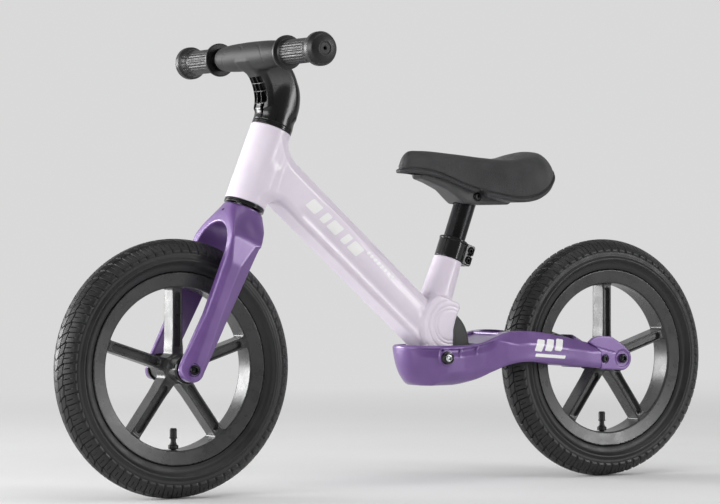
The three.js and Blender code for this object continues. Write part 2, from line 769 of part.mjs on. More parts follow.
function saddlePad() {
  const side = new THREE.Shape();
  side.moveTo(0, 383);
  side.quadraticCurveTo(4, 405, 30, 406.5);
  side.lineTo(120, 400.5);
  side.quadraticCurveTo(150, 398, 170, 405);
  side.quadraticCurveTo(195, 414, 210, 401);
  side.quadraticCurveTo(222, 390, 214, 372);
  side.quadraticCurveTo(200, 350, 150, 344.5);
  side.quadraticCurveTo(120, 346, 84, 364);
  side.quadraticCurveTo(40, 377, 0, 379);
  const half = [[3, 11], [15, 17.5], [40, 19.5], [70, 23], [100, 32], [130, 48], [150, 58]];
  half.push([166, 62], [185, 60], [203, 47], [214, 27], [218, 8]);
  const mirrored = half.map(([x, y]) => [x, -y]).reverse();
  const plan = polygon([...half, ...mirrored]);
  const crownSide = [[62, 330], [62, 384], [50, 398], [26, 412]];
  const crown = polygon([...crownSide, ...crownSide.map(([y, z]) => [-y, z]).reverse()]);
  const pad = common(slab(side, 62, 8, 3), slabUpright(plan, 330, 420), slabAlongX(crown, -10, 230));
  const boltRoom = alongSeat(at([0, SADDLE_BOLT_HEIGHT], rod(7, -40, 40)));
  return cut(pad, saddleBaseBlock(0.5), boltRoom);
}

// --- The whole bike -------------------------------------------------------------------

const bike = new THREE.Group();

const steering = place(HEAD_LOW[0], 0, HEAD_LOW[1], steeringParts());
steering.rotation.y = HEAD_TILT;
const frontAxleSet = axleSet("front", FORK_INNER, FORK_OUTER);
const rearAxleSet = axleSet("rear", REAR_END_INNER, REAR_END_OUTER);

bike.add(
  piece("main_frame", mainFrame(), PEARL),
  piece("head_ring_lower", alongHead(headRing(0)), BLACK_GLOSS),
  piece("head_bearing_lower", alongHead(headBearing(7)), STEEL),
  piece("head_bearing_upper", alongHead(headBearing(HEAD_LENGTH - 7)), STEEL),
  seatClampParts(),
  piece("damper_block", damperBlock(), FOAM),
  piece("pivot_bush_left", at(PIVOT, pivotBush()), BLACK_SATIN),
  piece("pivot_bush_right", at(PIVOT, mirrorY(pivotBush())), BLACK_SATIN),
  steering,
  place(-WHEELBASE / 2, 0, TYRE_R, [...wheel("front"), ...frontAxleSet]),
  place(WHEELBASE / 2, 0, TYRE_R, [...wheel("rear"), ...rearAxleSet]),
  ...rearArmParts(),
  piece("seat_post", seatPost(), BLACK_METAL),
  piece("saddle_base", saddleBase(), BLACK_SATIN),
  piece("saddle_bolt", saddleBolt(), BLACK_METAL),
  piece("saddle_pad", saddlePad(), LEATHER),
);

export default bike;
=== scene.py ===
"""A child's balance bike with a sprung rear arm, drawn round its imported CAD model.

Shapes are worked out in millimetres and become metres when a mesh is made. The bike
points along -X, +Y is the rider's right, and +Z is up.
"""

import json
import math

import bpy
import numpy as np
import openvdb
from mathutils import Matrix, Vector


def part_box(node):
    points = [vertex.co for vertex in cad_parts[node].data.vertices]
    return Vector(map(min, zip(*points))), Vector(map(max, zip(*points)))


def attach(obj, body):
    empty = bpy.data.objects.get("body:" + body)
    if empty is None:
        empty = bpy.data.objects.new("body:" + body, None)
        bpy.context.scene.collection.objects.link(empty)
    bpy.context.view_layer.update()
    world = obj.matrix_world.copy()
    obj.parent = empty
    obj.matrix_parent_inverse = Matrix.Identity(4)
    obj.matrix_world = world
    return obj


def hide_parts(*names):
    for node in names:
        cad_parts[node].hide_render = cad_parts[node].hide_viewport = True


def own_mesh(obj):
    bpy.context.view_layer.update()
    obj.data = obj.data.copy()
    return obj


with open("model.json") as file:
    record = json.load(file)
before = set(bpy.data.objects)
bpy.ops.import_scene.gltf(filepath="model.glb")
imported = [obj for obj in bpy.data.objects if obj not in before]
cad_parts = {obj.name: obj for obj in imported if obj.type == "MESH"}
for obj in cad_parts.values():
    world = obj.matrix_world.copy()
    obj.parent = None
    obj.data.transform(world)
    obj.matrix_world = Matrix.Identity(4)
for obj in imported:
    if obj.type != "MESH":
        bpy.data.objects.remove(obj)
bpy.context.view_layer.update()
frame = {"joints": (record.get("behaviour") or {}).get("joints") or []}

MM = 0.001
TURN = 2 * math.pi
JOINTS = {joint["name"]: joint for joint in frame["joints"]}


def joint_place(name):
    return np.array(JOINTS[name]["pos_m"]) / MM


def lean_of(name):
    """How far a joint's axis leans back from upright, in radians."""
    x, _, z = JOINTS[name]["axis"]
    return math.atan2(x, z)


def node_box(name):
    low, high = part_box(name)
    return np.array(low) / MM, np.array(high) / MM


# Places and sizes that come from the frame.
HEAD_LOW = joint_place("steering")
HEAD_TILT = lean_of("steering")
SEAT_TILT = lean_of("seat_height")
PIVOT = joint_place("rear_suspension")
FRONT_HUB = joint_place("front_wheel_spin")
REAR_HUB = joint_place("rear_wheel_spin")
TYRE_R = FRONT_HUB[2]


# --- Frames -------------------------------------------------------------------


def leaning(place, tilt):
    """The frame of pieces drawn about a leaning axis, which is their Z."""
    return Matrix.Translation(Vector(place)) @ Matrix.Rotation(tilt, 4, "Y")


def moved(points, placed):
    matrix = np.array(placed)
    return points @ matrix[:3, :3].T + matrix[:3, 3]


STEERING = leaning(HEAD_LOW, HEAD_TILT)
SEAT_TOP = np.array([72.9, 0, 275.0])
SEAT = leaning(SEAT_TOP, SEAT_TILT)
BAR = (-55, 0, 167.4)  # the handlebar's middle in the steering frame


def within(x, z, place, tilt):
    """Coordinates across and along a leaning axis of points in the bike's frame."""
    dx, dz = x - place[0], z - place[2]
    across = dx * math.cos(tilt) - dz * math.sin(tilt)
    along = dx * math.sin(tilt) + dz * math.cos(tilt)
    return across, along


# --- Signed distances, in millimetres, negative inside ------------------------


def edge(a, b, radius):
    """What is inside both, with a rounded rim where they meet."""
    corner = np.hypot(np.maximum(a + radius, 0), np.maximum(b + radius, 0))
    return np.minimum(np.maximum(a, b), -radius) + corner


def fillet(a, b, radius):
    """What is inside either, with a rounded inner corner where they meet."""
    corner = np.hypot(np.maximum(radius - a, 0), np.maximum(radius - b, 0))
    return np.maximum(np.minimum(a, b), radius) - corner


def carve(body, hole, radius=0.5):
    return edge(body, -hole, radius)


def soften(a, b, width):
    """What is inside both, blended over a width."""
    share = np.clip(0.5 - 0.5 * (b - a) / width, 0, 1)
    return b + (a - b) * share + width * share * (1 - share)


def ramp(value, start, end):
    """0 before start, 1 after end, and smooth between them."""
    t = np.clip((value - start) / (end - start), 0, 1)
    return t * t * (3 - 2 * t)


def bump(value, middle, width):
    return np.exp(-(((value - middle) / width) ** 2))


def curve(*points):
    """A smooth curve through points, as a function of their first coordinate."""
    at, value = np.array(points, float).T
    slopes = np.gradient(value, at)

    def height(x):
        i = np.clip(np.searchsorted(at, x) - 1, 0, len(at) - 2)
        gap = at[i + 1] - at[i]
        t = np.clip((x - at[i]) / gap, 0, 1)
        rise = value[i + 1] - value[i]
        start, end = slopes[i] * gap, slopes[i + 1] * gap
        return value[i] + t * start + t * t * (3 * rise - 2 * start - end) + t**3 * (
            start + end - 2 * rise
        )

    return height


def bend(start, control, end, steps=10):
    """Points along a curve that leaves start towards control and arrives at end."""
    t = np.linspace(0, 1, steps)[:, None]
    start, control, end = map(np.array, (start, control, end))
    return [tuple(p) for p in (1 - t) ** 2 * start + 2 * t * (1 - t) * control + t * t * end]


def arc(centre, radius, start, end, steps=16):
    """Points on an arc from one angle to another, in degrees."""
    angles = np.radians(np.linspace(start, end, steps))
    return [(centre[0] + radius * math.cos(a), centre[1] + radius * math.sin(a)) for a in angles]


def path(*corners):
    """A closed outline. A corner (u, v, radius) is rounded, and (u, v) is kept."""
    made = []
    count = len(corners)
    for i, corner in enumerate(corners):
        here = np.array(corner[:2], float)
        if len(corner) < 3:
            made.append(here)
            continue
        before = np.array(corners[i - 1][:2]) - here
        after = np.array(corners[(i + 1) % count][:2]) - here
        reach = min(np.linalg.norm(before), np.linalg.norm(after)) * 0.48
        before /= np.linalg.norm(before)
        after /= np.linalg.norm(after)
        half = math.acos(np.clip(before @ after, -1, 1)) / 2
        run = min(corner[2] / math.tan(half), reach)
        made += [np.array(p) for p in bend(here + before * run, here, here + after * run, 8)]
    return np.array(made)


def mirrored(*half, flip=(1, -1)):
    """Corners, and then their mirror images back to the start."""
    return [*half, *[(u * flip[0], v * flip[1], *r) for u, v, *r in reversed(half)]]


def outline(points, step=0.7, margin=16):
    """Distance to a closed outline, worked out on a grid and read between its points."""
    low = points.min(0) - margin
    counts = np.ceil((points.max(0) + margin - low) / step).astype(int) + 1
    u, v = np.meshgrid(*[low[k] + step * np.arange(counts[k]) for k in (0, 1)], indexing="ij")
    nearest = np.full(u.shape, 1e9)
    inside = np.zeros(u.shape, bool)
    for (au, av), (bu, bv) in zip(points, np.roll(points, -1, 0)):
        eu, ev = bu - au, bv - av
        length = eu * eu + ev * ev
        if length < 1e-9:
            continue
        share = np.clip(((u - au) * eu + (v - av) * ev) / length, 0, 1)
        nearest = np.minimum(nearest, (u - au - eu * share) ** 2 + (v - av - ev * share) ** 2)
        if av != bv:
            inside ^= ((av <= v) != (bv <= v)) & (u < au + (v - av) * eu / ev)
    table = np.where(inside, -1, 1) * np.sqrt(nearest)

    def distance(a, b):
        fa = np.clip((a - low[0]) / step, 0, counts[0] - 1.001)
        fb = np.clip((b - low[1]) / step, 0, counts[1] - 1.001)
        i, j = fa.astype(int), fb.astype(int)
        fa, fb = fa - i, fb - j
        left = table[i, j] * (1 - fb) + table[i, j + 1] * fb
        right = table[i + 1, j] * (1 - fb) + table[i + 1, j + 1] * fb
        return left * (1 - fa) + right * fa

    return distance


# --- Meshes -------------------------------------------------------------------


def finish_mesh(name, points, faces, placed=Matrix(), normals=None, sharp=None):
    """A smooth-shaded object from points in millimetres in a placed frame."""
    mesh = bpy.data.meshes.new(name)
    points = moved(points, placed) * MM
    if isinstance(faces, np.ndarray):
        mesh.vertices.add(len(points))
        mesh.vertices.foreach_set("co", points.astype(np.float32).ravel())
        mesh.loops.add(faces.size)
        mesh.loops.foreach_set("vertex_index", faces.astype(np.int32).ravel())
        mesh.polygons.add(len(faces))
        starts = np.arange(0, faces.size, faces.shape[1], dtype=np.int32)
        mesh.polygons.foreach_set("loop_start", starts)
        mesh.update(calc_edges=True)
    else:
        mesh.from_pydata([tuple(p) for p in points], [], faces)
    mesh.validate()
    mesh.shade_smooth()
    if sharp is not None:
        mesh.set_sharp_from_angle(angle=math.radians(sharp))
    if normals is not None:
        mesh.normals_split_custom_set_from_vertices(normals @ np.array(placed)[:3, :3].T)
    made = bpy.data.objects.new(name, mesh)
    bpy.context.scene.collection.objects.link(made)
    return made


def grid_faces(rows, columns):
    """The quads of a grid of points that closes on itself both ways."""
    row, column = np.meshgrid(np.arange(rows), np.arange(columns), indexing="ij")
    below, after = (row + 1) % rows * columns, (column + 1) % columns
    row = row * columns
    return np.stack([row + column, row + after, below + after, below + column], -1).reshape(-1, 4)


def slope_of(field, points, reach):
    """The field's gradient at points."""
    parts = []
    for axis in range(3):
        step = np.zeros(3)
        step[axis] = reach
        parts.append(field(*(points + step).T) - field(*(points - step).T))
    return np.stack(parts, 1) / (2 * reach)


BLOCK = 4  # grid points along a side of the blocks that are looked at first


def sculpt(name, field, low, high, step, placed=Matrix()):
    """The surface where field is zero, met by a grid of that step and then moved onto it."""
    low = np.array(low, float)
    blocks = np.ceil((np.array(high) - low) / (step * BLOCK)).astype(int)
    middles = [low[k] + step * (np.arange(blocks[k]) * BLOCK + (BLOCK - 1) / 2) for k in range(3)]
    grids = np.meshgrid(*middles, indexing="ij")
    coarse = field(*grids)
    near = np.argwhere(np.abs(coarse) < step * BLOCK * 1.15 + step)
    values = np.broadcast_to(
        coarse[:, None, :, None, :, None],
        (blocks[0], BLOCK, blocks[1], BLOCK, blocks[2], BLOCK),
    ).copy()
    inner = np.stack(np.meshgrid(*[np.arange(BLOCK)] * 3, indexing="ij"), -1).reshape(-1, 3)
    places = low + step * (near[:, None, :] * BLOCK + inner[None])
    found = field(*places.reshape(-1, 3).T).reshape(-1, BLOCK, BLOCK, BLOCK)
    values[near[:, 0], :, near[:, 1], :, near[:, 2], :] = found
    values = values.reshape(blocks * BLOCK)
    far = 3 * step
    grid = openvdb.FloatGrid(far)
    grid.copyFromArray(np.clip(values, -far, far).astype(np.float32))
    points, quads = grid.convertToQuads(0.0)
    points = low + step * points.astype(float)
    for _ in range(2):
        slope = slope_of(field, points, 0.25 * step)
        size = np.maximum((slope**2).sum(1), 0.3)
        push = np.clip(field(*points.T) / size, -0.5 * step, 0.5 * step)
        points -= slope * push[:, None]
    normals = slope_of(field, points, 0.35 * step)
    normals /= np.maximum(np.linalg.norm(normals, axis=1), 1e-6)[:, None]
    return finish_mesh(name, points, quads, placed, normals)


def rounded(profile, radius=0.4):
    """A profile's points with its corners rounded, and the way that each one faces."""
    points, facing = [], []
    last = len(profile) - 1
    for i, (r, y, *own) in enumerate(profile):
        here = np.array([r, y], float)
        if i in (0, last):
            other = np.array(profile[1 if i == 0 else last - 1][:2]) - here
            along = other if i == 0 else -other
            points.append(here)
            facing.append(np.array([along[1], -along[0]]) / np.linalg.norm(along))
            continue
        before = np.array(profile[i - 1][:2]) - here
        after = np.array(profile[i + 1][:2]) - here
        reach = min(np.linalg.norm(before), np.linalg.norm(after)) * 0.48
        start, end = -before / np.linalg.norm(before), after / np.linalg.norm(after)
        turn = math.acos(np.clip(start @ end, -1, 1))
        run = min((own[0] if own else radius) * math.tan(turn / 2), reach)
        steps = max(2, math.ceil(turn / math.radians(18)) + 1)
        for t in np.linspace(0, 1, steps):
            a, c, b = here - start * run, here, here + end * run
            points.append((1 - t) ** 2 * a + 2 * t * (1 - t) * c + t * t * b)
            along = (1 - t) * start + t * end
            facing.append(np.array([along[1], -along[0]]) / max(np.linalg.norm(along), 1e-9))
    return np.array(points), np.array(facing)


def lathe(name, profile, placed=Matrix(), segments=72, radius=0.4, closed=False):
    """A profile of (radius, place[, rounding]) turned about Y, which it follows upwards
    with its material on the axis side. A closed one ends where it starts."""
    profile = [*profile, profile[0]] if closed else profile
    points, facing = rounded(profile, radius)
    if closed:
        points, facing = points[:-1], facing[:-1]
    angles = np.arange(segments) * TURN / segments
    ring = np.stack([np.sin(angles), np.cos(angles)], 1)
    spots, normals, rows = [], [], []
    for (r, y), (fr, fy) in zip(points, facing):
        if r < 1e-6:
            rows.append([len(spots)] * segments)
            spots.append((0, y, 0))
            normals.append((0, math.copysign(1, fy), 0))
            continue
        rows.append(list(range(len(spots), len(spots) + segments)))
        spots += [(r * s, y, r * c) for s, c in ring]
        normals += [(fr * s, fy, fr * c) for s, c in ring]
    faces = []
    pairs = list(zip(rows, rows[1:] + rows[:1])) if closed else list(zip(rows, rows[1:]))
    for lower, upper in pairs:
        for k in range(segments):
            n = (k + 1) % segments
            face = [lower[k], lower[n], upper[n], upper[k]]
            faces.append([v for j, v in enumerate(face) if v != face[j - 1]])
    return finish_mesh(name, np.array(spots), faces, placed, np.array(normals))


def upright():
    """Turns a shape made about Y so that its places along Y become heights."""
    return Matrix.Rotation(math.pi / 2, 4, "X")


def put(*place):
    return Matrix.Translation(Vector(place))


MIRROR = Matrix.Rotation(math.pi, 4, "Z")  # swaps left and right for shapes turned about Y
SIDES = ((-1, "left"), (1, "right"))


def add(piece, body, slot, material, *nodes):
    """Dresses a piece and hangs it on its body in place of its CAD nodes."""
    piece.data.materials.clear()
    piece.data.materials.append(material)
    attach(piece, body)
    if nodes:
        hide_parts(*nodes)
    return piece


def turn(name, profile, placed, segments, body, slot, material, *nodes, radius=0.3):
    """A closed turned profile, dressed and hung on its body."""
    made = lathe(name, profile, placed, segments, radius, closed=True)
    return add(made, body, slot, material, *nodes)


# --- Materials ----------------------------------------------------------------


def shaded(name, colour, roughness, **sockets):
    """A material whose Principled shader has these constants set on its own sockets."""
    made = bpy.data.materials.new(name)
    made.use_nodes = True
    shader = made.node_tree.nodes["Principled BSDF"]
    shader.inputs["Base Color"].default_value = (*linear(colour), 1)
    shader.inputs["Roughness"].default_value = roughness
    for socket, value in sockets.items():
        shader.inputs[socket.replace("_", " ")].default_value = value
    return made


def linear(colour):
    """Linear values of a colour given in sRGB from 0 to 255."""
    def one(c):
        c /= 255
        return c / 12.92 if c <= 0.04045 else ((c + 0.055) / 1.055) ** 2.4
    return tuple(one(c) for c in colour)


def new_node(material, kind, **values):
    made = material.node_tree.nodes.new(kind)
    for key, value in values.items():
        if key in made.inputs:
            made.inputs[key].default_value = value
        else:
            setattr(made, key, value)
    return made


def wire(material, source, target):
    material.node_tree.links.new(source, target)


def noise(material, scale, detail=3.0):
    """A noise over the piece, with scale in marks per metre."""
    coordinates = new_node(material, "ShaderNodeTexCoord")
    made = new_node(material, "ShaderNodeTexNoise", Scale=scale, Detail=detail, Roughness=0.5)
    wire(material, coordinates.outputs["Object"], made.inputs["Vector"])
    return made.outputs["Fac"]


def spread(material, source, low, high, start=0.3, end=0.7):
    """Maps a value from one range to another."""
    made = new_node(material, "ShaderNodeMapRange")
    limits = {"From Min": start, "From Max": end, "To Min": low, "To Max": high}
    for socket, value in limits.items():
        made.inputs[socket].default_value = value
    wire(material, source, made.inputs["Value"])
    return made.outputs["Result"]


def vary_roughness(material, low, high, scale=60):
    shader = material.node_tree.nodes["Principled BSDF"]
    wire(material, spread(material, noise(material, scale), low, high), shader.inputs["Roughness"])


def vary_colour(material, dark, light, scale=30):
    """Mottles the colour between two sRGB colours."""
    shader = material.node_tree.nodes["Principled BSDF"]
    mix = new_node(material, "ShaderNodeMix", data_type="RGBA")
    mix.inputs["A"].default_value = (*linear(dark), 1)
    mix.inputs["B"].default_value = (*linear(light), 1)
    wire(material, spread(material, noise(material, scale), 0, 1), mix.inputs["Factor"])
    wire(material, mix.outputs["Result"], shader.inputs["Base Color"])


def roughen(material, height, depth, strength=1.0):
    """Raises the surface by a height from 0 to 1, times a depth in metres."""
    shader = material.node_tree.nodes["Principled BSDF"]
    made = new_node(material, "ShaderNodeBump", Strength=strength, Distance=depth)
    wire(material, height, made.inputs["Height"])
    wire(material, made.outputs["Normal"], shader.inputs["Normal"])


def moulded(name, dark, light, roughness, grain, **sockets):
    """Moulded plastic: faintly mottled, with uneven gloss and a fine spark-eroded grain."""
    made = shaded(name, light, roughness[0], **sockets)
    vary_colour(made, dark, light)
    vary_roughness(made, *roughness)
    roughen(made, noise(made, 1800, 2.0), grain)
    return made


PEARL = moulded(
    "pearl_paint", (225, 215, 229), (232, 223, 235), (0.30, 0.40), 0.00002,
    Coat_Weight=0.25, Coat_Roughness=0.12,
)
PURPLE = moulded(
    "purple_paint", (106, 76, 136), (118, 86, 149), (0.30, 0.40), 0.00003,
    Metallic=0.2, Coat_Weight=0.5, Coat_Roughness=0.2,
)
BLACK_SATIN = moulded("black_plastic", (13, 13, 14), (19, 19, 20), (0.34, 0.46), 0.00003)
BASE_GREY = moulded("saddle_base_nylon", (66, 66, 67), (76, 76, 77), (0.4, 0.55), 0.00005)
BLACK_GLOSS = moulded("gloss_black", (16, 16, 17), (22, 22, 23), (0.10, 0.20), 0.00001)
RIM_GREY = moulded("rim_nylon", (50, 50, 51), (60, 60, 61), (0.24, 0.34), 0.00001)
RUBBER = moulded("tyre_rubber", (17, 17, 18), (27, 27, 27), (0.38, 0.54), 0.00005)
GRIP_RUBBER = moulded("grip_rubber", (12, 12, 13), (20, 20, 21), (0.36, 0.5), 0.00004)
FOAM = moulded("elastomer", (72, 73, 72), (82, 83, 82), (0.6, 0.8), 0.00012)
STEEL = moulded("zinc_steel", (190, 192, 195), (215, 217, 220), (0.16, 0.3), 0.00002, Metallic=1.0)
BLACK_STEEL = moulded(
    "black_steel", (30, 30, 32), (42, 42, 44), (0.22, 0.34), 0.00002, Metallic=0.8
)
DECAL = moulded("white_print", (244, 244, 243), (250, 250, 249), (0.35, 0.5), 0.00001)


def leather():
    """A soft vinyl cover with a pebbled grain of about a millimetre."""
    made = shaded("saddle_cover", (52, 52, 54), 0.5)
    vary_colour(made, (44, 44, 46), (60, 60, 62), 45)
    vary_roughness(made, 0.42, 0.6, 90)
    coordinates = new_node(made, "ShaderNodeTexCoord")
    cells = new_node(made, "ShaderNodeTexVoronoi", Scale=650.0, feature="DISTANCE_TO_EDGE")
    wire(made, coordinates.outputs["Object"], cells.inputs["Vector"])
    roughen(made, spread(made, cells.outputs["Distance"], 0, 1, 0.0, 0.25), 0.00025, 0.8)
    return made


def stem_plastic():
    """The stem's black plastic: glossy on the neck, satin on the barrel above it."""
    made = moulded("stem_plastic", (13, 13, 14), (19, 19, 20), (0.34, 0.46), 0.00003)
    parts = new_node(made, "ShaderNodeSeparateXYZ")
    wire(made, new_node(made, "ShaderNodeTexCoord").outputs["Object"], parts.inputs[0])
    gloss = spread(made, parts.outputs["Z"], 0.22, 0.58, 0.478, 0.500)
    wire(made, gloss, made.node_tree.nodes["Principled BSDF"].inputs["Roughness"])
    return made


SADDLE_COVER = leather()
STEM_PLASTIC = stem_plastic()


# --- Camera, floor and light --------------------------------------------------


def add_camera():
    """Looks level at the bike from its front left, 3.4 m away."""
    data = bpy.data.cameras.new("camera")
    data.lens = 140.5
    data.sensor_width = 36
    data.clip_end = 60
    made = bpy.data.objects.new("camera", data)
    bpy.context.scene.collection.objects.link(made)
    made.location = (-1.8373, -2.8737, 0.2940)
    azimuth, elevation = math.radians(-31.824), math.radians(0.165)
    back = Vector((
        math.sin(azimuth) * math.cos(elevation),
        -math.cos(azimuth) * math.cos(elevation),
        math.sin(elevation),
    ))
    made.rotation_mode = "QUATERNION"
    made.rotation_quaternion = (-back).to_track_quat("-Z", "Y")
    bpy.context.scene.camera = made


FLOOR_NEAR, FLOOR_FAR = 0.7, 2.4  # metres out, where the lit paper starts and stops to fade
BRIGHT_SIDE, DIM_SIDE = 0.695, 0.2


def add_backdrop():
    """A pale floor that runs far out and sweeps up, so that no edge shows."""
    profile = [(0.0, 0.0), (1.0, 0.0), (3.0, 0.0), (9.0, 0.0), (26.0, 0.0)]
    sweep, rings, segments = 4.0, 12, 64
    for k in range(1, rings + 1):
        a = k / rings * math.pi / 2
        profile.append((26.0 + sweep * math.sin(a), sweep * (1 - math.cos(a))))
    profile.append((30.0, 30.0))
    points = [(0, 0, 0)]
    for r, z in profile[1:]:
        for s in range(segments):
            a = s * TURN / segments
            points.append((r * math.cos(a) / MM, r * math.sin(a) / MM, z / MM))
    faces = [[0, 1 + s, 1 + (s + 1) % segments] for s in range(segments)]
    for row in range(len(profile) - 2):
        for s in range(segments):
            n = (s + 1) % segments
            a, b = 1 + row * segments, 1 + (row + 1) * segments
            faces.append([a + s, b + s, b + n, a + n])
    made = finish_mesh("backdrop", np.array(points), faces)
    made.data.materials.append(seamless_paper())


def seamless_paper():
    """Lit paper round the bike, which turns into an evenly bright background farther out."""
    made = shaded("backdrop_paper", (240, 240, 240), 0.9)
    vary_colour(made, (239, 239, 239), (242, 242, 242), 3)
    place = new_node(made, "ShaderNodeTexCoord").outputs["Object"]
    length = new_node(made, "ShaderNodeVectorMath", operation="LENGTH")
    wire(made, place, length.inputs[0])
    far = spread(made, length.outputs["Value"], 0, 1, FLOOR_NEAR, FLOOR_FAR)
    far.node.interpolation_type = "SMOOTHSTEP"
    parts = new_node(made, "ShaderNodeSeparateXYZ")
    wire(made, place, parts.inputs[0])
    # Bright behind the bike as the default camera sees it, dimmer on the camera's side.
    glow = spread(made, parts.outputs["Y"], DIM_SIDE, BRIGHT_SIDE, -6, 2)
    light = new_node(made, "ShaderNodeEmission")
    wire(made, glow, light.inputs["Strength"])
    mixed = new_node(made, "ShaderNodeMixShader")
    wire(made, far, mixed.inputs[0])
    wire(made, made.node_tree.nodes["Principled BSDF"].outputs[0], mixed.inputs[1])
    wire(made, light.outputs[0], mixed.inputs[2])
    wire(made, mixed.outputs[0], made.node_tree.nodes["Material Output"].inputs["Surface"])
    return made


def add_light(name, place, target, size, power):
    data = bpy.data.lights.new(name, "AREA")
    data.shape = "RECTANGLE"
    data.size, data.size_y = size
    data.energy = power
    made = bpy.data.objects.new(name, data)
    bpy.context.scene.collection.objects.link(made)
    made.location = place
    made.rotation_mode = "QUATERNION"
    made.rotation_quaternion = (Vector(target) - Vector(place)).to_track_quat("-Z", "Y")


def add_studio():
    world = bpy.data.worlds.new("studio")
    bpy.context.scene.world = world
    world.use_nodes = True
    background = world.node_tree.nodes["Background"]
    background.inputs["Color"].default_value = (1, 1, 1, 1)
    background.inputs["Strength"].default_value = 0.12
    middle = (0, 0, 0.25)
    add_light("key_left", (-3.0, -0.1, 0.9), middle, (2.4, 1.8), 70)
    add_light("back_left", (-2.3, 2.8, 0.7), middle, (1.6, 1.4), 95)
    add_light("top", (0.2, -1.0, 3.0), middle, (2.6, 2.2), 26)
    add_light("fill_right", (2.5, -2.9, 1.0), middle, (1.0, 1.6), 52)
    add_camera()
    add_backdrop()
    bpy.context.scene.view_settings.view_transform = "Standard"


add_studio()


# --- Main frame ---------------------------------------------------------------

FRAME_CREASE = 13  # from the down tube's upper edge to its crease, on the side
RIPPLES = (60, 195)  # the middle of the arcs pressed into the lower body
TUBE_WALL = 23  # half the width of the down tube
SLOPE = (0.755, -0.6556)  # the way the down tube runs, in x and z
TUBE_MIDDLE = (-142, 347.5)  # on the down tube's middle line, where places along it start
HEAD_TUBE = (49.75, 47.2)  # its middle along the steering axis, and half its length


def along_tube(x, z):
    """How far a place is along the down tube, and how far above its middle."""
    dx, dz = x - TUBE_MIDDLE[0], z - TUBE_MIDDLE[1]
    return SLOPE[0] * dx + SLOPE[1] * dz, -SLOPE[1] * dx + SLOPE[0] * dz


def main_frame_field():
    tube_shape = outline(path(
        (-178, 418), (-163, 408, 6), (-152, 391, 30), (-143, 383, 40), (10, 249, 16),
        (36, 226, 8), (36, 163), (32.2, 163, 2), (-141, 312, 60), (-176, 342.5, 16), (-205, 352),
    ))
    body_shape = outline(path(
        *arc(RIPPLES, 40, 215, 113, 16), (45, 232, 3), (62, 226.5, 10),
        (73.5, 221.8, 4), (75.8, 216, 3), (69.5, 203, 12), (65.8, 190, 14), (65.4, 174, 20),
        (65, 164, 8), *arc((PIVOT[0], PIVOT[2]), 17, -8, -172, 20),
    ))
    seat_radius = curve((-66, 21), (-50, 19.9), (-30, 18.9), (-12, 18.1), (4, 17.8))

    def field(x, y, z):
        side = np.abs(y)
        across, along = within(x, z, HEAD_LOW, HEAD_TILT)
        r = np.hypot(across, y)
        ends = np.abs(along - HEAD_TUBE[0]) - HEAD_TUBE[1]
        head = edge(r - 24.6, ends, 1.0)
        # The down tube: a crease along the top of each side, and a flute above its lower edge.
        rim = tube_shape(x, z)
        wall = side - TUBE_WALL
        run, above = along_tube(x, z)
        slant = (7 * (rim + FRAME_CREASE) + FRAME_CREASE * wall) / math.hypot(7, FRAME_CREASE)
        slant = slant - 1.2 * np.exp(-((rim + FRAME_CREASE) / 1.6) ** 2) * ramp(run, 10, 40)
        upper = edge(soften(wall, slant, 1.2 + 4 * ramp(run, 60, 170)), rim, 6)
        flute = bump(above, -15.5, 6.5) * ramp(run, -4, 14)
        lower = edge(rim, wall + 3.4 * flute, 10)
        share = ramp(above, -6, 6)
        tube = lower * (1 - share) + upper * share
        # The lower body, with arcs pressed into its sides.
        ring = np.hypot(x - RIPPLES[0], z - RIPPLES[1])
        half = 25
        for middle in (30.5, 23, 19):
            half = half - 0.55 * bump(ring, middle, 1.0)
        body = edge(body_shape(x, z), side - half, 3.0)
        # The seat tube.
        seat_across, seat_along = within(x, z, SEAT_TOP, SEAT_TILT)
        seat_r = np.hypot(seat_across, y)
        seat = edge((seat_r - seat_radius(seat_along)) * 0.99, seat_along, 0.8)
        seat = np.maximum(seat, -66 - seat_along)
        neck = np.maximum(seat_r - 15.2, np.abs(seat_along - 10) - 14)
        made = fillet(head, tube, 9)
        made = fillet(made, body, 3)
        made = fillet(made, seat, 4)
        made = np.minimum(made, neck)
        # Bores for the steerer, the seat post and the pivot.
        made = carve(made, np.maximum(r - 18, np.abs(along - 50) - 80), 0.8)
        made = carve(made, np.maximum(seat_r - 13.9, -102 - seat_along), 0.6)
        slit = np.maximum(np.abs(y) - 1, np.maximum(-seat_across, -seat_along))
        made = np.maximum(made, -slit)
        # Round the head tube's ends nothing stands past them.
        made = np.where(r < 30, np.maximum(made, ends), made)
        return carve(made, np.hypot(x - PIVOT[0], z - PIVOT[2]) - 8, 0.6)

    return field


MAIN_FRAME_FIELD = main_frame_field()


STICKER_START = 60.0  # out to the side, past every surface that a sticker lies on
STICKER_STEPS = 60  # inwards to the surface
STICKER_LIFT = 0.18  # above the surface


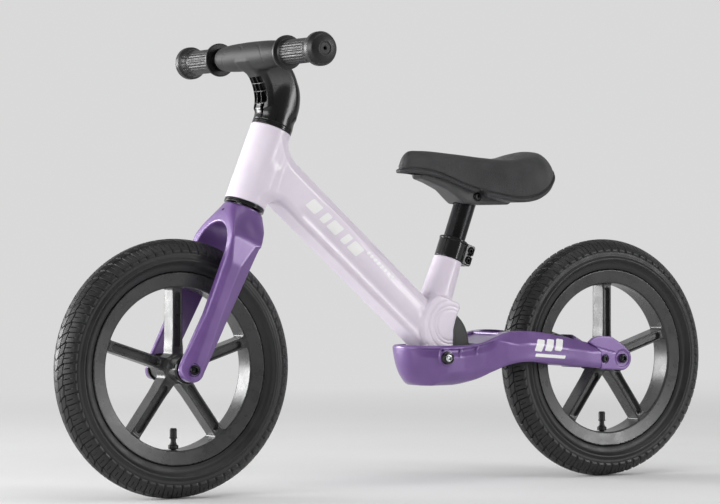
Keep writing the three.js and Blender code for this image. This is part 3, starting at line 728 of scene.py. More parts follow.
def sticker(name, field, side, bars):
    """Printed bars lying on a surface: each is its middle, its size and its slope."""
    rows, columns, corner = 12, 14, 1.0
    spots, faces = [], []
    for middle, size, slope in bars:
        t = np.linspace(-1, 1, rows + 1) * size[1] / 2
        inset = np.maximum(np.abs(t) - (size[1] / 2 - corner), 0)
        reach = size[0] / 2 - corner + np.sqrt(np.maximum(corner**2 - inset**2, 0))
        s = np.linspace(-1, 1, columns + 1)[None] * reach[:, None] + 0.3 * t[:, None]
        x = middle[0] + s * math.cos(slope) - t[:, None] * math.sin(slope)
        z = middle[1] + s * math.sin(slope) + t[:, None] * math.cos(slope)
        y = np.full_like(x, side * STICKER_START)
        for _ in range(STICKER_STEPS):
            y = y - side * np.clip(field(x, y, z), -2, 2) * 0.9
        start, count = len(spots), x.size
        for lift in (STICKER_LIFT, -0.5):
            spots += list(np.stack([x, y + side * lift, z], -1).reshape(-1, 3))
        wide = columns + 1
        for r in range(rows):
            for c in range(columns):
                a = start + r * wide + c
                quad = [a, a + 1, a + 1 + wide, a + wide]
                faces.append(quad if side < 0 else quad[::-1])
                back = [k + count for k in quad]
                faces.append(back[::-1] if side < 0 else back)
        rim = [start + c for c in range(columns)]
        rim += [start + r * wide + columns for r in range(rows)]
        rim += [start + rows * wide + c for c in range(columns, 0, -1)]
        rim += [start + r * wide for r in range(rows, 0, -1)]
        for k, a in enumerate(rim):
            b = rim[(k + 1) % len(rim)]
            quad = [a, a + count, b + count, b]
            faces.append(quad if side < 0 else quad[::-1])
    return finish_mesh(name, np.array(spots), faces, sharp=40)


def add_tube_stickers():
    """Slanted bars and a row of small ticks along both sides of the down tube."""
    slope = math.atan2(SLOPE[1], SLOPE[0])
    bars = [(14, 0, 17, 14), (35, 0, 9, 14), (52, 0, 17, 14), (73, 0, 9, 14), (90, 0, 17, 14)]
    bars += [(107 + 6.4 * k, 7.5, 3.4, 4.6) for k in range(8)]
    placed = []
    for run, above, width, height in bars:
        x = TUBE_MIDDLE[0] + SLOPE[0] * run - SLOPE[1] * above
        z = TUBE_MIDDLE[1] + SLOPE[1] * run + SLOPE[0] * above
        placed.append(((x, z), (width, height), slope))
    for side, word in SIDES:
        made = sticker(f"tube_bars_{word}", MAIN_FRAME_FIELD, side, placed)
        add(made, "frame", "pearl", DECAL)


def add_main_frame():
    low, high = node_box("main_frame")
    made = sculpt("main_frame_shell", MAIN_FRAME_FIELD, low - 3, high + 3, 1.25)
    add(made, "frame", "pearl", PEARL, "main_frame")


# --- Fork: drawn in the steering frame ----------------------------------------

AXLE_ACROSS, AXLE_ALONG = within(FRONT_HUB[0], FRONT_HUB[2], HEAD_LOW, HEAD_TILT)


def fork_field():
    top = -2.55
    side_shape = outline(path(
        (24, top), (-24, top), *bend((-24.4, -8), (-26.5, -30), (-24.8, -64), 8),
        (-24.8, -145, 60), (-30.4, -203, 6),
        *arc((AXLE_ACROSS, AXLE_ALONG), 14.5, 168, 366, 26), (3, -163, 50), (11.5, -84, 80),
        *bend((13.5, -64), (15.5, -44), (20, -30), 6), *bend((21, -27), (23.8, -16), (24, -8), 5),
    ))
    front_shape = outline(path(*mirrored(
        (-24, top), (-24.6, -6, 6), (-27.5, -13, 12), (-46, -44, 30), (-51, -78, 40), (-51, -240),
        flip=(-1, 1),
    )))
    space_shape = outline(path((-37.5, -260), (37.5, -260), *arc((0, -67.5), 37.5, 0, 180, 30)))
    crown_radius = curve(
        (-90, 96), (-62, 74), (-46, 58), (-32, 46), (-20, 35), (-12, 28.6), (-6, 25.2), (0, 24)
    )
    crease = curve((-240, -6.5), (-195, -5.3), (-136, -5.6), (-42, -1.3), (0, 0))

    def field(x, y, z):
        side = np.abs(y)
        outside = side - 51
        # The rear of each leg leans in from a crease. It starts with a step under the crown.
        lean = math.radians(24)
        bevel = (x - crease(z)) * math.sin(lean) + outside * math.cos(lean)
        bevel = bevel - 9 * ramp(z, -50, -40)
        front_bevel = -(x + 19.5) * math.sin(0.6) + outside * math.cos(0.6)
        front = front_shape(y, z)
        legs = edge(side_shape(x, z), front, 2.2)
        legs = soften(legs, bevel, 0.8)
        legs = soften(legs, front_bevel, 2.5)
        r = np.hypot(x, y)
        crown = (r - crown_radius(z)) * 0.75
        made = soften(legs, crown, 7)
        # A shallow dish on each side of the crown.
        dish = np.exp(-(((x - 5) / 9) ** 2 + ((z + 27) / 11) ** 2))
        made = made + 1.6 * dish * ramp(side, 20, 26)
        made = carve(made, space_shape(y, z), 2.2)
        made = np.maximum(made, z - top)
        made = carve(made, np.maximum(r - 13, -22 - z), 0.5)
        made = np.maximum(made, -(r - 4.3))
        axle = np.hypot(x - AXLE_ACROSS, z - AXLE_ALONG)
        made = carve(made, np.maximum(axle - 7.6, 49.6 - side), 0.4)
        made = carve(made, axle - 3.3, 0.5)
        hole = np.maximum(np.hypot(y, z + 14) - 1.6, np.maximum(x + 18, -40 - x))
        return carve(made, hole, 0.3)

    return field


def add_fork():
    made = sculpt("fork_shell", fork_field(), (-36, -54, -230), (28, 54, 0), 1.1, STEERING)
    add(made, "steering", "purple", PURPLE, "fork")


# --- Rear arm -----------------------------------------------------------------

END_SCREW = (281, 150)  # where the screw of each end plate sits, in x and z


def end_front(z):
    """Where the outside of a stay stops and its end plate begins."""
    return np.interp(z, [158, 165, 171], [274.7, 266, 255.5])


def rear_arm_field():
    side_shape = outline(path(
        (-0.5, 171.5, 3), (20, 171), (75, 171, 60), *bend((94, 173), (102, 175), (113, 179.5), 5),
        *bend((128, 184.5), (152, 190), (189, 184), 8), (252, 172, 60), (292, 163.6),
        (292, 137), (225, 142, 60), (189, 146, 60), *bend((170, 148.5), (146, 151), (122, 142), 8),
        *bend((108, 136), (92, 126), (62, 121), 8), (24, 120.4, 10), (0, 126, 6),
    ))
    plan_shape = outline(path(
        *arc((40, 0), 40.4, 90, 270, 40),
        *mirrored((70, -41.5, 60), (100, -44, 60), (130, -48, 60), (160, -51, 60),
                  (190, -51.5, 60), (220, -49.5, 60), (252, -46, 60), (300, -43)),
    ))
    hull_shape = outline(path(*mirrored(
        (60, 230), (52, 160, 40), (52, 150, 30), (44, 137, 30), (36, 127, 16), (27, 121, 6),
        flip=(-1, 1),
    )))
    hollow_shape = outline(path(*arc((41, 0), 36, 90, 270, 40), (91, -37, 4), (91, 37, 4)))
    wheel_shape = outline(path(*mirrored(
        (134, 22, 10), (142, 29, 10), (165, 33, 10), (330, 33),
    )))
    rim_height = curve(
        (-10, 171), (60, 171), (94, 173.5), (118, 181), (150, 187), (190, 184), (260, 171)
    )
    nose_taper = curve(
        (119, 25), (121, 22), (126, 14.6), (133, 9.4), (143, 5), (155, 2), (165, 0.4), (172, 0)
    )
    under_lip = curve((-20, 168), (20, 166.6), (45, 165.9), (80, 167.4), (96, 170.8), (116, 176.5))

    def field(x, y, z):
        side = np.abs(y)
        # The nose narrows towards its foot, like a boat's.
        taper = nose_taper(np.clip(z, 119, 172)) * (1 - ramp(x, 14, 48))
        plan = plan_shape(x, y) + taper
        profile = side_shape(x, z)
        made = edge(plan * 0.93, profile, 3.4)
        made = edge(made, hull_shape(y, z), 4.0)
        # A bevel along the top of the outside, broad on the stays.
        broad = 1.8 + 5.2 * ramp(x, 100, 145)
        tall = 1.8 + 15.0 * ramp(x, 104, 150) - 5 * ramp(x, 200, 260)
        down = rim_height(x) - z
        slant = (tall * (plan + broad) - broad * down) / np.hypot(tall, broad)
        made = soften(made, slant, 1.0)
        # A recess below the rim's lip, crossed by three thin ribs.
        lip = under_lip(np.clip(x, -20, 116))
        span = ramp(x, 4, 22) * (1 - ramp(x, 104, 116))
        depth = 2.7 * span * ramp(z, lip - 11, lip - 1.2) * (1 - ramp(z, lip - 0.4, lip + 0.7))
        for rib in (35, 64, 86):
            depth = depth * (1 - np.exp(-(((x - rib - 0.35 * (z - 160)) / 1.3) ** 4)))
        made = made + depth * ramp(plan, -9, -5)
        # The pivot's boss and the hollows.
        boss = edge(np.hypot(x - PIVOT[0], z - PIVOT[2]) - 9.6, side - 42, 0.6)
        made = fillet(made, boss, 1.5)
        made = carve(made, np.maximum(hollow_shape(x, y) + taper, 134 - z), 1.6)
        made = carve(made, wheel_shape(x, y), 2.0)
        # A shallow tray in the deck between the stays.
        tray = np.maximum(np.maximum(94 - x, x - 131), side - 31)
        made = carve(made, np.maximum(tray, 172.4 + 0.26 * (x - 94) - z), 1.5)
        # The step that the end plates lie on.
        made = carve(made, np.maximum(end_front(z) - 0.3 - x, 37.7 - side), 0.4)
        made = carve(made, np.hypot(x - PIVOT[0], z - PIVOT[2]) - 4.3, 0.4)
        return np.maximum(made, -(np.hypot(x - END_SCREW[0], z - END_SCREW[1]) - 2.8))

    return field


def rear_end_field():
    shape = outline(path(
        (275, 137.3, 2), (275, 158, 6), (266.3, 165.2, 6), (256, 171, 1),
        *bend((263, 176.4), (270, 178.8), (277, 178.6), 6),
        *bend((290, 178), (305, 171), (314.5, 163), 8),
        *arc((307, 150), 15, 40, -84, 18),
    ))

    def field(x, y, z):
        made = edge(shape(x, z), np.abs(y - 40.7) - 2.7, 1.1)
        # A dish round the axle bolt, a sunk seat for the screw, and a crease ahead of them.
        axle = np.hypot(x - 308, z - 150)
        made = made + 0.9 * ramp(-axle, -11.5, -9.5) * ramp(y, 41, 42.5)
        crease = bump(z, 164.6 - 0.24 * (x - 267), 0.9) * ramp(-x, -300, -292)
        made = made + 0.6 * crease * ramp(y, 41, 42.5)
        screw = np.hypot(x - END_SCREW[0], z - END_SCREW[1])
        made = carve(made, np.maximum(screw - 5.6, 42.4 - y), 0.4)
        made = carve(made, screw - 2.8, 0.3)
        return carve(made, axle - 3.3, 0.3)

    return field


REAR_ARM_FIELD = rear_arm_field()


def add_rear_arm():
    low, high = node_box("rear_arm")
    made = sculpt("rear_arm_shell", REAR_ARM_FIELD, low - 3, high + 3, 1.15)
    add(made, "rear_arm", "purple", PURPLE, "rear_arm")
    field = rear_end_field()
    for side, name in ((1, "right"), (-1, "left")):
        low, high = (253, 36, 132), (325, 46, 182)
        made = sculpt(f"rear_end_plate_{name}", field, low, high, 0.6)
        if side < 0:
            made.data.flip_normals()
            made.data.transform(Matrix.Scale(-1, 4, (0, 1, 0)))
        add(made, "rear_arm", "purple", PURPLE, f"rear_end_{name}")
        bars = [(x, 169, 11, 15, -0.12) for x in (176, 191, 206)] + [(192, 155.5, 46, 4, -0.08)]
        placed = [((x, z), (width, height), slope) for x, z, width, height, slope in bars]
        add(sticker(f"stay_bars_{name}", REAR_ARM_FIELD, side, placed), "rear_arm", "pearl", DECAL)


# --- Elastomer between the frame and the arm ----------------------------------


def add_damper():
    shape = outline(path(
        (72.6, 207), *bend((73.6, 206), (88, 195), (90.2, 172), 10), (90.4, 134.4, 2),
        (70, 134.4, 2), (64, 150), (65.8, 172), (66.2, 190), (69.6, 202.4),
    ))

    def field(x, y, z):
        made = edge(shape(x, z), np.abs(y) - 21.5, 1.6)
        return made + 0.35 * bump(shape(x, z), -3.2, 0.7) * ramp(np.abs(y), 20, 21)

    low, high = node_box("damper_block")
    made = sculpt("damper_rubber", field, low - 2, high + 2, 0.9)
    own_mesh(made)
    add(made, "frame", "damper_rubber", FOAM, "damper_block")


# --- Stem, handlebar and grips: drawn in the steering frame -------------------


def stem_field():
    neck_shape = outline(path(
        (19, 118), *bend((19, 128), (17, 148), (3, 164), 10),
        *bend((2, 165), (-14, 182), (-52, 184.2), 10),
        (-66, 176), (-66, 156), *bend((-60, 153), (-32, 142), (-25, 114), 10), (0, 106),
    ))
    foot_radius = curve((98, 24.7), (102, 24.5), (117, 22.6), (137, 19.5), (150, 15), (160, 9))
    barrel_radius = curve(
        (0, 16.9), (18, 16.8), (34, 16.5), (48, 15.9), (60, 14.9), (70, 13.4), (80, 12)
    )

    def field(x, y, z):
        side = np.abs(y)
        r = np.hypot(x, y)
        foot = edge((r - foot_radius(z)) * 0.98, 102.05 - z, 0.8)
        foot = edge(foot, z - 158, 4)
        neck = edge(neck_shape(x, z), side - 18.5, 10)
        made = -soften(-foot, -neck, 9)
        bar = np.hypot(x - BAR[0], z - BAR[2])
        barrel = edge((bar - barrel_radius(side)) * 0.99, side - 70, 2.2)
        # A shallow crescent pressed into each end of the barrel's front.
        crescent = np.hypot((side - 20) * 0.8, (z - BAR[2] + 14))
        barrel = barrel + 0.35 * bump(crescent, 22, 0.9) * ramp(-x, 60, 66)
        made = fillet(made, barrel, 5)
        # Pockets under the front, with ribs between them.
        slope = math.radians(44)
        px, pz = x + 29, z - 127
        along = -px * math.cos(slope) + pz * math.sin(slope)
        depth = px * math.sin(slope) + pz * math.cos(slope)
        for a0, a1 in ((-14.2, -5.4), (-4.2, 4.2), (5.4, 14.2)):
            for b0, b1 in ((-6, 5.5), (6.8, 15), (16.3, 24)):
                hole = np.maximum(np.abs(y - (a0 + a1) / 2) - (a1 - a0) / 2,
                                  np.abs(along - (b0 + b1) / 2) - (b1 - b0) / 2)
                made = carve(made, np.maximum(hole, np.maximum(depth - 6, -20 - depth)), 0.5)
        # Below them a tongue is left between two slots that run to a point.
        pointed = 3.3 * (along + 22) / 15
        slot = np.maximum(np.abs(side - 8.6) - pointed, np.abs(along + 14.6) - 7.2)
        made = carve(made, np.maximum(slot, np.maximum(depth - 6, -16 - depth)), 0.5)
        made = carve(made, bar - 10.8, 0.6)
        return carve(made, np.maximum(r - 13, z - 151), 0.6)

    return field


# The grip's own profile: flange, ribbed body, dimpled collar and mushroom end.
GRIP_PROFILE = [
    (10.8, 78.1, 0.5), (20, 78, 1.6), (20, 82, 1.6), (15.4, 83.2, 2.0), (14.6, 85.5, 1.0),
    (14.4, 137, 1.5), (15.8, 141, 2), (17.2, 147, 3), (19.6, 149.5, 2.5), (19.7, 156.5, 4),
    (16.4, 162.5, 4), (8, 164.6, 3), (6.5, 163.9, 0.6), (3.0, 164.2, 0.5), (2, 164, 0.4),
    (2, 149.6, 0.3), (10.8, 149.5, 0.4),
]


def add_grip(side, word):
    """A grip on one side, its ribs and dimples pressed into the turned shape."""
    points, _ = rounded([*GRIP_PROFILE, GRIP_PROFILE[0]], 0.6)
    dense = [points[0]]
    for a, b in zip(points, points[1:]):
        longest = 0.8 if a[0] > 11 and b[0] > 11 else 5  # the bore needs fewer points
        count = max(1, math.ceil(np.linalg.norm(b - a) / longest))
        dense += [a + (b - a) * k / count for k in range(1, count + 1)]
    profile = np.array(dense[:-1])
    segments = 168
    angles = np.arange(segments) * TURN / segments
    r, y = profile[:, 0][:, None], profile[:, 1][:, None]
    ribs = 0.5 - 0.5 * np.cos(angles * 24)[None]
    ribbed = ramp(y, 85.5, 87.5) * (1 - ramp(y, 133.5, 136)) * (r > 12)
    radius = r - 0.75 * (1 - ribs**0.6) * ribbed
    dots = 14  # in each ring of dimples
    around = (angles * dots / TURN) % 1 - 0.5
    for ring in (139.2, 142.4, 145.6):
        dot = np.hypot((around * TURN * 15.8 / dots)[None], y - ring)
        radius = radius - 1.1 * (1 - ramp(dot, 0.6, 1.3)) * (r > 12)
    out = np.broadcast_to(y * side, radius.shape)
    spots = np.stack([radius * np.sin(angles), out, radius * np.cos(angles)], -1).reshape(-1, 3)
    quads = grid_faces(len(profile), segments)
    if side < 0:
        quads = quads[:, ::-1]
    made = finish_mesh(f"grip_{word}_rubber", spots, quads, STEERING @ put(*BAR))
    add(made, "steering", "black_rubber", GRIP_RUBBER, f"grip_{word}")


def add_steering():
    made = sculpt("stem_moulding", stem_field(), (-76, -73, 100), (28, 73, 188), 0.95, STEERING)
    add(made, "steering", "black_plastic", STEM_PLASTIC, "stem")
    turn(
        "handlebar_tube", [(8.7, -149), (10.5, -149), (10.5, 149), (8.7, 149)],
        STEERING @ put(*BAR), 72, "steering", "gloss_black", BLACK_GLOSS, "handlebar", radius=0.4,
    )
    for side, word in SIDES:
        add_grip(side, word)
    for word, body, middle in (("lower", "frame", 0), ("upper", "steering", 99.5)):
        turn(
            f"head_ring_{word}_turned",
            [(13, middle - 2.25), (24.4, middle - 2.25, 0.7), (24.4, middle - 0.3, 0.3),
             (23.7, middle, 0.2), (24.4, middle + 0.3, 0.3), (24.4, middle + 2.25, 0.7),
             (13, middle + 2.25)],
            STEERING @ upright(), 96, body, "gloss_black", BLACK_GLOSS, f"head_ring_{word}",
        )


# --- Wheels: drawn about their own middle -------------------------------------

PITCHES = 76  # how often the tread repeats
SECTION_R = 23.5  # of the tyre's round section
SECTION_MIDDLE = 126.5
# Places along one block of tread, close together at its groove and at the slit in its middle.
BLOCK_STEPS = np.array((
    0, 0.044, 0.06, 0.08, 0.26, 0.436, 0.452, 0.464, 0.536, 0.548, 0.564, 0.74, 0.92, 0.94, 0.956,
))
# Places out from the tyre's middle line, close together at the grooves that run round it.
TREAD_ROWS = np.array((
    2.2, 4.3, 4.6, 4.85, 5.95, 6.2, 6.5, 9.0, 11.3, 11.6, 11.85, 12.95, 13.2, 13.5, 14.2, 17.5,
    20.8, 21.6, 24.2, 24.9, 25.5, 28.3, 28.9, 29.7,
))
WALL_ROWS = np.array((31.5, 33, 34.5, 36, 37.3, 38.6, 40, 42, 45, 48, 52))


def tread_depth(place, out):
    """How deep the tread is cut, 0 to 1 along one block and this far out from the middle."""
    pitch = TURN * TYRE_R / PITCHES
    from_groove = np.minimum(place, 1 - place) * pitch
    cut = 3.0 * (1 - ramp(from_groove, 0.54, 0.74)) * (1 - ramp(out, 24.2, 24.9))
    for middle in (5.4, 12.4):
        cut = np.maximum(cut, 2.6 * (1 - ramp(np.abs(out - middle), 0.55, 0.8)))
    from_slit = np.abs(place - 0.5) * pitch
    slit = (1 - ramp(from_slit, 0.44, 0.6)) * ramp(out, 13.5, 14.2) * (1 - ramp(out, 20.8, 21.6))
    cut = np.maximum(cut, 2.2 * slit)
    block = ramp(from_groove, 0.74, 0.98) * (1 - ramp(out, 28.3, 28.9))
    return np.where(out > 25.2, 1.5 * (1 - block), cut)


def tyre_mesh(name, centre):
    half = np.concatenate([TREAD_ROWS, WALL_ROWS])
    lateral = np.concatenate([-half[::-1], [0], half])[None]
    out = np.abs(lateral)
    place = np.tile(BLOCK_STEPS, PITCHES)[:, None]
    cut = tread_depth(place, out)
    # The grooves round the tyre run aslant in each block, and the cross grooves sweep back.
    aslant = 1.9 * (place - 0.5) * ramp(out, 1, 4) * (1 - ramp(out, 14.5, 20))
    angle = np.sign(lateral) * (out + aslant) / SECTION_R
    sweep = 0.75 * np.minimum(out, 12) + 0.18 * np.clip(out - 12, 0, 18)
    shape = 1.2 * bump(out, 38.6, 2.2) - 0.9 * bump(out, 34, 2.0) - 2.2 * bump(out, 45.5, 4.0)
    inset = cut - shape
    radius = SECTION_MIDDLE + (SECTION_R - inset) * np.cos(angle)
    side = (SECTION_R - inset) * np.sin(angle)
    inner = np.array(mirrored((111.6, 15.9), (112.6, 12.4), (126.5, 19.6)))
    inner = np.insert(inner, 3, (145, 0), 0)
    radius = np.concatenate([radius, np.tile(inner[:, 0], (len(place), 1))], 1)
    side = np.concatenate([side, np.tile(inner[:, 1], (len(place), 1))], 1)
    sweep = np.concatenate([sweep, np.full((1, len(inner)), sweep.max())], 1)
    block = (np.arange(len(place)) // len(BLOCK_STEPS))[:, None] + place
    around = block * TURN / PITCHES + sweep / TYRE_R
    spots = np.stack([radius * np.sin(around), side, radius * np.cos(around)], -1).reshape(-1, 3)
    quads = np.roll(grid_faces(*radius.shape), -1, 1)
    return finish_mesh(name, spots, quads, put(*centre))


def rim_field():
    barrel_shape = outline(path(*mirrored(
        (94.3, 0), (94.3, 13.2, 1.2), (95.4, 15.2, 1.0), (111.2, 17.4, 0.8), (112, 16.4, 0.5),
        (104, 12.2, 3), (98.5, 8.5, 4), (97.5, 0),
    )), 0.5)

    def field(x, y, z):
        side = np.abs(y)
        r = np.hypot(x, z)
        made = barrel_shape(r, y)
        hub = edge(r - 14.5, side - 31, 1.2)
        hub = fillet(hub, edge(r - 17.5, side - 12, 2.5), 3)
        turn = np.arctan2(x, z)
        turn = turn - np.round(turn / (TURN / 5)) * (TURN / 5)
        along, across = r * np.cos(turn), np.abs(r * np.sin(turn))
        width = 6.35 + 0.9 * ramp(-along, -40, -20)
        spoke = edge(across - width, side - 11.5, 1.3)
        spoke = np.maximum(spoke, np.maximum(along - 96, 6 - along))
        slot = np.hypot(np.maximum(np.abs(along - 56.5) - 28, 0), across) - 3.9
        spoke = carve(spoke, np.maximum(slot, 6.5 - side), 1.4)
        made = fillet(made, spoke, 3.0)
        made = fillet(made, hub, 3.0)
        made = np.maximum(made, 8.6 - r)
        made = np.maximum(made, -np.maximum(r - 11.3, 23.7 - side))
        return np.maximum(made, -np.maximum(np.hypot(x, y) - 3.3, z + 90))

    return field


RIM_MESH = []


def add_rim(prefix, centre):
    """Both rims are one mesh: the second is a copy of the first."""
    name = f"{prefix}_rim_moulding"
    if RIM_MESH:
        mesh = RIM_MESH[0].copy()
        mesh.name = name
        mesh.transform(put(*((centre - FRONT_HUB) * MM)))
        made = bpy.data.objects.new(name, mesh)
        bpy.context.scene.collection.objects.link(made)
    else:
        made = sculpt(name, rim_field(), (-114, -33, -114), (114, 33, 114), 1.3, put(*centre))
        RIM_MESH.append(made.data)
    add(made, f"{prefix}_wheel", "rim_grey", RIM_GREY, f"{prefix}_rim")


HEX = math.radians(60)


def bolt(name, centre, side, head_r, head_height, shank_r, length, socket_r, placed=Matrix()):
    """A button-headed bolt along Y with a hexagonal socket. Its head's seat is at centre."""
    rows = [
        (0, -0.35, True), (socket_r, -0.35, True), (socket_r, -0.96, True),
        (socket_r + 0.25, -1.0, False), (head_r * 0.66, -1.0, False), (head_r * 0.82, -0.9, False),
        (head_r * 0.93, -0.72, False), (head_r * 0.99, -0.5, False), (head_r, -0.12, False),
        (head_r - 0.2, 0, False), (shank_r, 0, False), (shank_r, length / head_height, False),
        (0, length / head_height, False),
    ]
    segments = 48
    angles = np.arange(segments) * TURN / segments
    hexed = 1 / np.cos((angles + HEX / 2) % HEX - HEX / 2)
    spots, faces, starts = [], [], []
    for r, y, six in rows:
        starts.append(len(spots))
        if r == 0:
            spots.append((0, y * head_height, 0))
            continue
        for a, grow in zip(angles, hexed):
            reach = r * (grow if six else 1)
            spots.append((reach * math.sin(a), y * head_height, reach * math.cos(a)))
    for k in range(len(rows) - 1):
        a, b = starts[k], starts[k + 1]
        for s in range(segments):
            n = (s + 1) % segments
            if rows[k][0] == 0:
                faces.append([a, b + n, b + s])
            elif rows[k + 1][0] == 0:
                faces.append([a + s, a + n, b])
            else:
                faces.append([a + s, a + n, b + n, b + s])
    turned = placed @ put(*centre) @ (Matrix() if side < 0 else MIRROR)
    return finish_mesh(name, np.array(spots), faces, turned, sharp=32)


def add_wheel(prefix, centre, holder, inner, outer):
    """A wheel held between two faces that are inner and outer from the middle."""
    body = f"{prefix}_wheel"
    tyre = tyre_mesh(f"{prefix}_tyre_rubber", centre)
    add(tyre, body, "tyre", RUBBER, f"{prefix}_tyre")
    add_rim(prefix, centre)
    at = put(*centre)
    turn(
        f"{prefix}_inner_tube_rubber",
        [(101, -6), (126.5, -18.3, 12), (143, -5, 6), (143, 5, 6), (126.5, 18.3, 12), (101, 6)],
        at, 96, body, "black_rubber", GRIP_RUBBER, f"{prefix}_inner_tube", radius=2.0,
    )
    stem = lathe(
        f"{prefix}_valve_stem_moulded",
        [(0, -106), (3, -106), (3, -93.5, 0.3), (6, -92.8, 0.8), (6, -89, 0.8), (4.2, -87.6, 0.6),
         (3.2, -85, 0.8), (3, -73), (0, -73)],
        at @ upright(), 32,
    )
    add(stem, body, "black_rubber", GRIP_RUBBER, f"{prefix}_valve_stem")
    turn(
        f"{prefix}_valve_cap_moulded",
        [(3.3, -81), (4.5, -81, 0.4), (4.5, -79.6, 0.2), (4.15, -79.2, 0.2), (4.15, -72, 0.3),
         (4.3, -71, 0.5), (3.4, -69, 0.6), (0, -69), (0, -72.6), (3.3, -72.6)],
        at @ upright(), 32, body, "black_plastic", BLACK_SATIN, f"{prefix}_valve_cap",
    )
    for side, word in SIDES:
        turned = at @ (Matrix() if side > 0 else MIRROR)
        turn(
            f"{prefix}_hub_cap_{word}_turned",
            [(5.2, 31.3), (16.5, 31.3, 0.8), (16.5, 34.2, 1.4), (15, 36.4, 1), (11.5, 36.6, 0.4),
             (10.4, 35.7, 0.5), (7.6, 35.7, 0.5), (6.8, 36.6, 0.4), (5.2, 36.6, 0.3)],
            turned, 72, body, "gloss_black", BLACK_GLOSS, f"{prefix}_hub_cap_{word}",
        )
        turn(
            f"{prefix}_bearing_{word}_turned",
            [(4.3, 23.9), (11, 23.9, 0.6), (11, 30.9, 0.6), (9.4, 30.9, 0.2), (9.2, 30.3, 0.2),
             (6.4, 30.3, 0.2), (6.2, 30.9, 0.2), (4.3, 30.9, 0.4)],
            turned, 48, body, "bearing_steel", STEEL, f"{prefix}_bearing_{word}",
        )
        screw = bolt(
            f"{prefix}_axle_bolt_{word}_head", centre + (0, side * (outer + 0.3), 0), side,
            5.8, 3.4, 3.0, outer - 15.7, 2.7,
        )
        add(screw, holder, "steel", BLACK_STEEL, f"{prefix}_axle_bolt_{word}")
    end = inner - 0.3
    turn(
        f"{prefix}_axle_turned", [(3.3, -end), (4, -end), (4, end), (3.3, end)],
        at, 32, holder, "steel", STEEL, f"{prefix}_axle", radius=0.2,
    )
    turn(
        f"{prefix}_bearing_spacer_turned", [(4.3, -23.6), (6, -23.6), (6, 23.6), (4.3, 23.6)],
        at, 32, holder, "steel", STEEL, f"{prefix}_bearing_spacer",
    )


# --- Pivot, clamp and seat ----------------------------------------------------


def add_pivot():
    at = put(*PIVOT)
    head = bolt("pivot_bolt_head", PIVOT + (0, -44.4, 0), -1, 5.0, 3.4, 4.0, 91, 2.7)
    add(head, "rear_arm", "steel", STEEL, "pivot_bolt")
    turn(
        "pivot_washer_turned",
        [(4.3, -44.1), (5.3, -44.1, 0.2), (5.4, -47.3, 0.4), (7.2, -46.9, 0.8), (8, -43.4, 0.6),
         (8, -42.3, 0.2), (4.3, -42.3)],
        at, 48, "rear_arm", "gloss_black", BLACK_GLOSS, "pivot_washer",
    )
    hexagon = outline(path(*[(*p, 0.5) for p in arc((0, 0), 7, 30, 330, 6)]), 0.2, 6)

    def nut_field(x, y, z):
        made = edge(hexagon(x, z), np.abs(y - 45.15) - 2.8, 0.3)
        made = soften(made, np.hypot(x, z) - 6.9 + np.maximum(y - 47.2, 0), 0.3)
        return carve(made, np.hypot(x, z) - 5, 0.3)

    nut = sculpt("pivot_nut_hexagon", nut_field, (-8, 41, -8), (8, 49, 8), 0.4, at)
    add(nut, "rear_arm", "steel", STEEL, "pivot_nut")
    for side, word in SIDES:
        turned = at @ (Matrix() if side > 0 else MIRROR)
        turn(
            f"pivot_bush_{word}_turned",
            [(4.3, 10), (7.7, 10, 0.5), (7.7, 27.3, 0.2), (9.5, 27.3, 0.4), (9.5, 34.7, 0.6),
             (4.3, 34.7)],
            turned, 48, "frame", "black_plastic", BLACK_SATIN, f"pivot_bush_{word}",
        )
        screw = bolt(
            f"rear_end_screw_{word}_head", (END_SCREW[0], side * 42.7, END_SCREW[1]), side,
            4.6, 2.0, 2.5, 8.5, 2.0,
        )
        add(screw, "rear_arm", "steel", BLACK_STEEL, f"rear_end_screw_{word}")


def add_head_insides():
    """The steerer, its bolt and the two head bearings, inside the head tube."""
    axis = STEERING @ upright()
    turn(
        "steerer_turned",
        [(4.3, -21.7), (12.7, -21.7, 0.8), (12.7, 150, 0.6), (10.9, 150), (10.9, -10), (4.3, -10)],
        axis, 64, "steering", "steel", STEEL, "steerer",
    )
    screw = bolt("steerer_bolt_head", (0, -32.3, 0), -1, 7, 5, 4, 24, 3.0, axis)
    add(screw, "steering", "steel", STEEL, "steerer_bolt")
    for word, middle in (("lower", 7), ("upper", 92.5)):
        low, high = middle - 4, middle + 4
        turn(
            f"head_bearing_{word}_turned",
            [(13, low), (17.7, low, 0.6), (17.7, high, 0.6), (13, high, 0.6)],
            axis, 64, "frame", "bearing_steel", STEEL, f"head_bearing_{word}",
        )


CLAMP_SCREWS = (19.3, 7.3)  # heights of the collar's screws above its foot
CLAMP_SCREW_ACROSS = 23.3


def clamp_field():
    ears = outline(path(
        (14, 0.3), (27.2, 0.3, 1.5), (28.5, 3, 1.5), (28.5, 24, 2), (27.5, 26.3, 2), (14, 26.3)
    ))

    def field(x, y, z):
        side = np.abs(y)
        r = np.hypot(x, y)
        ring = edge(r - 17.4, np.abs(z - 13.3) - 13, 0.7)
        ring = ring - 0.5 * (1 - ramp(np.abs(z - 24.4), 1.2, 1.6)) + 0.5 * bump(z, 22.6, 0.5)
        lugs = edge(ears(x, z), side - 9, 0.8)
        waist = np.maximum(np.abs(z - 13.3) - 1.0, np.maximum(20 - x, 5 - side))
        lugs = carve(lugs, waist, 0.5)
        made = fillet(ring, lugs, 1.5)
        made = carve(made, np.maximum(r - 15.5, z - 24.3), 0.3)
        made = carve(made, r - 13.9, 0.4)
        made = carve(made, np.maximum(side - 1, 8 - x), 0.3)
        for height in CLAMP_SCREWS:
            hole = np.hypot(x - CLAMP_SCREW_ACROSS, z - height)
            made = carve(made, np.maximum(hole - 4.6, y + 5), 0.3)
            made = np.maximum(made, -(hole - 2.8))
        return made

    return field


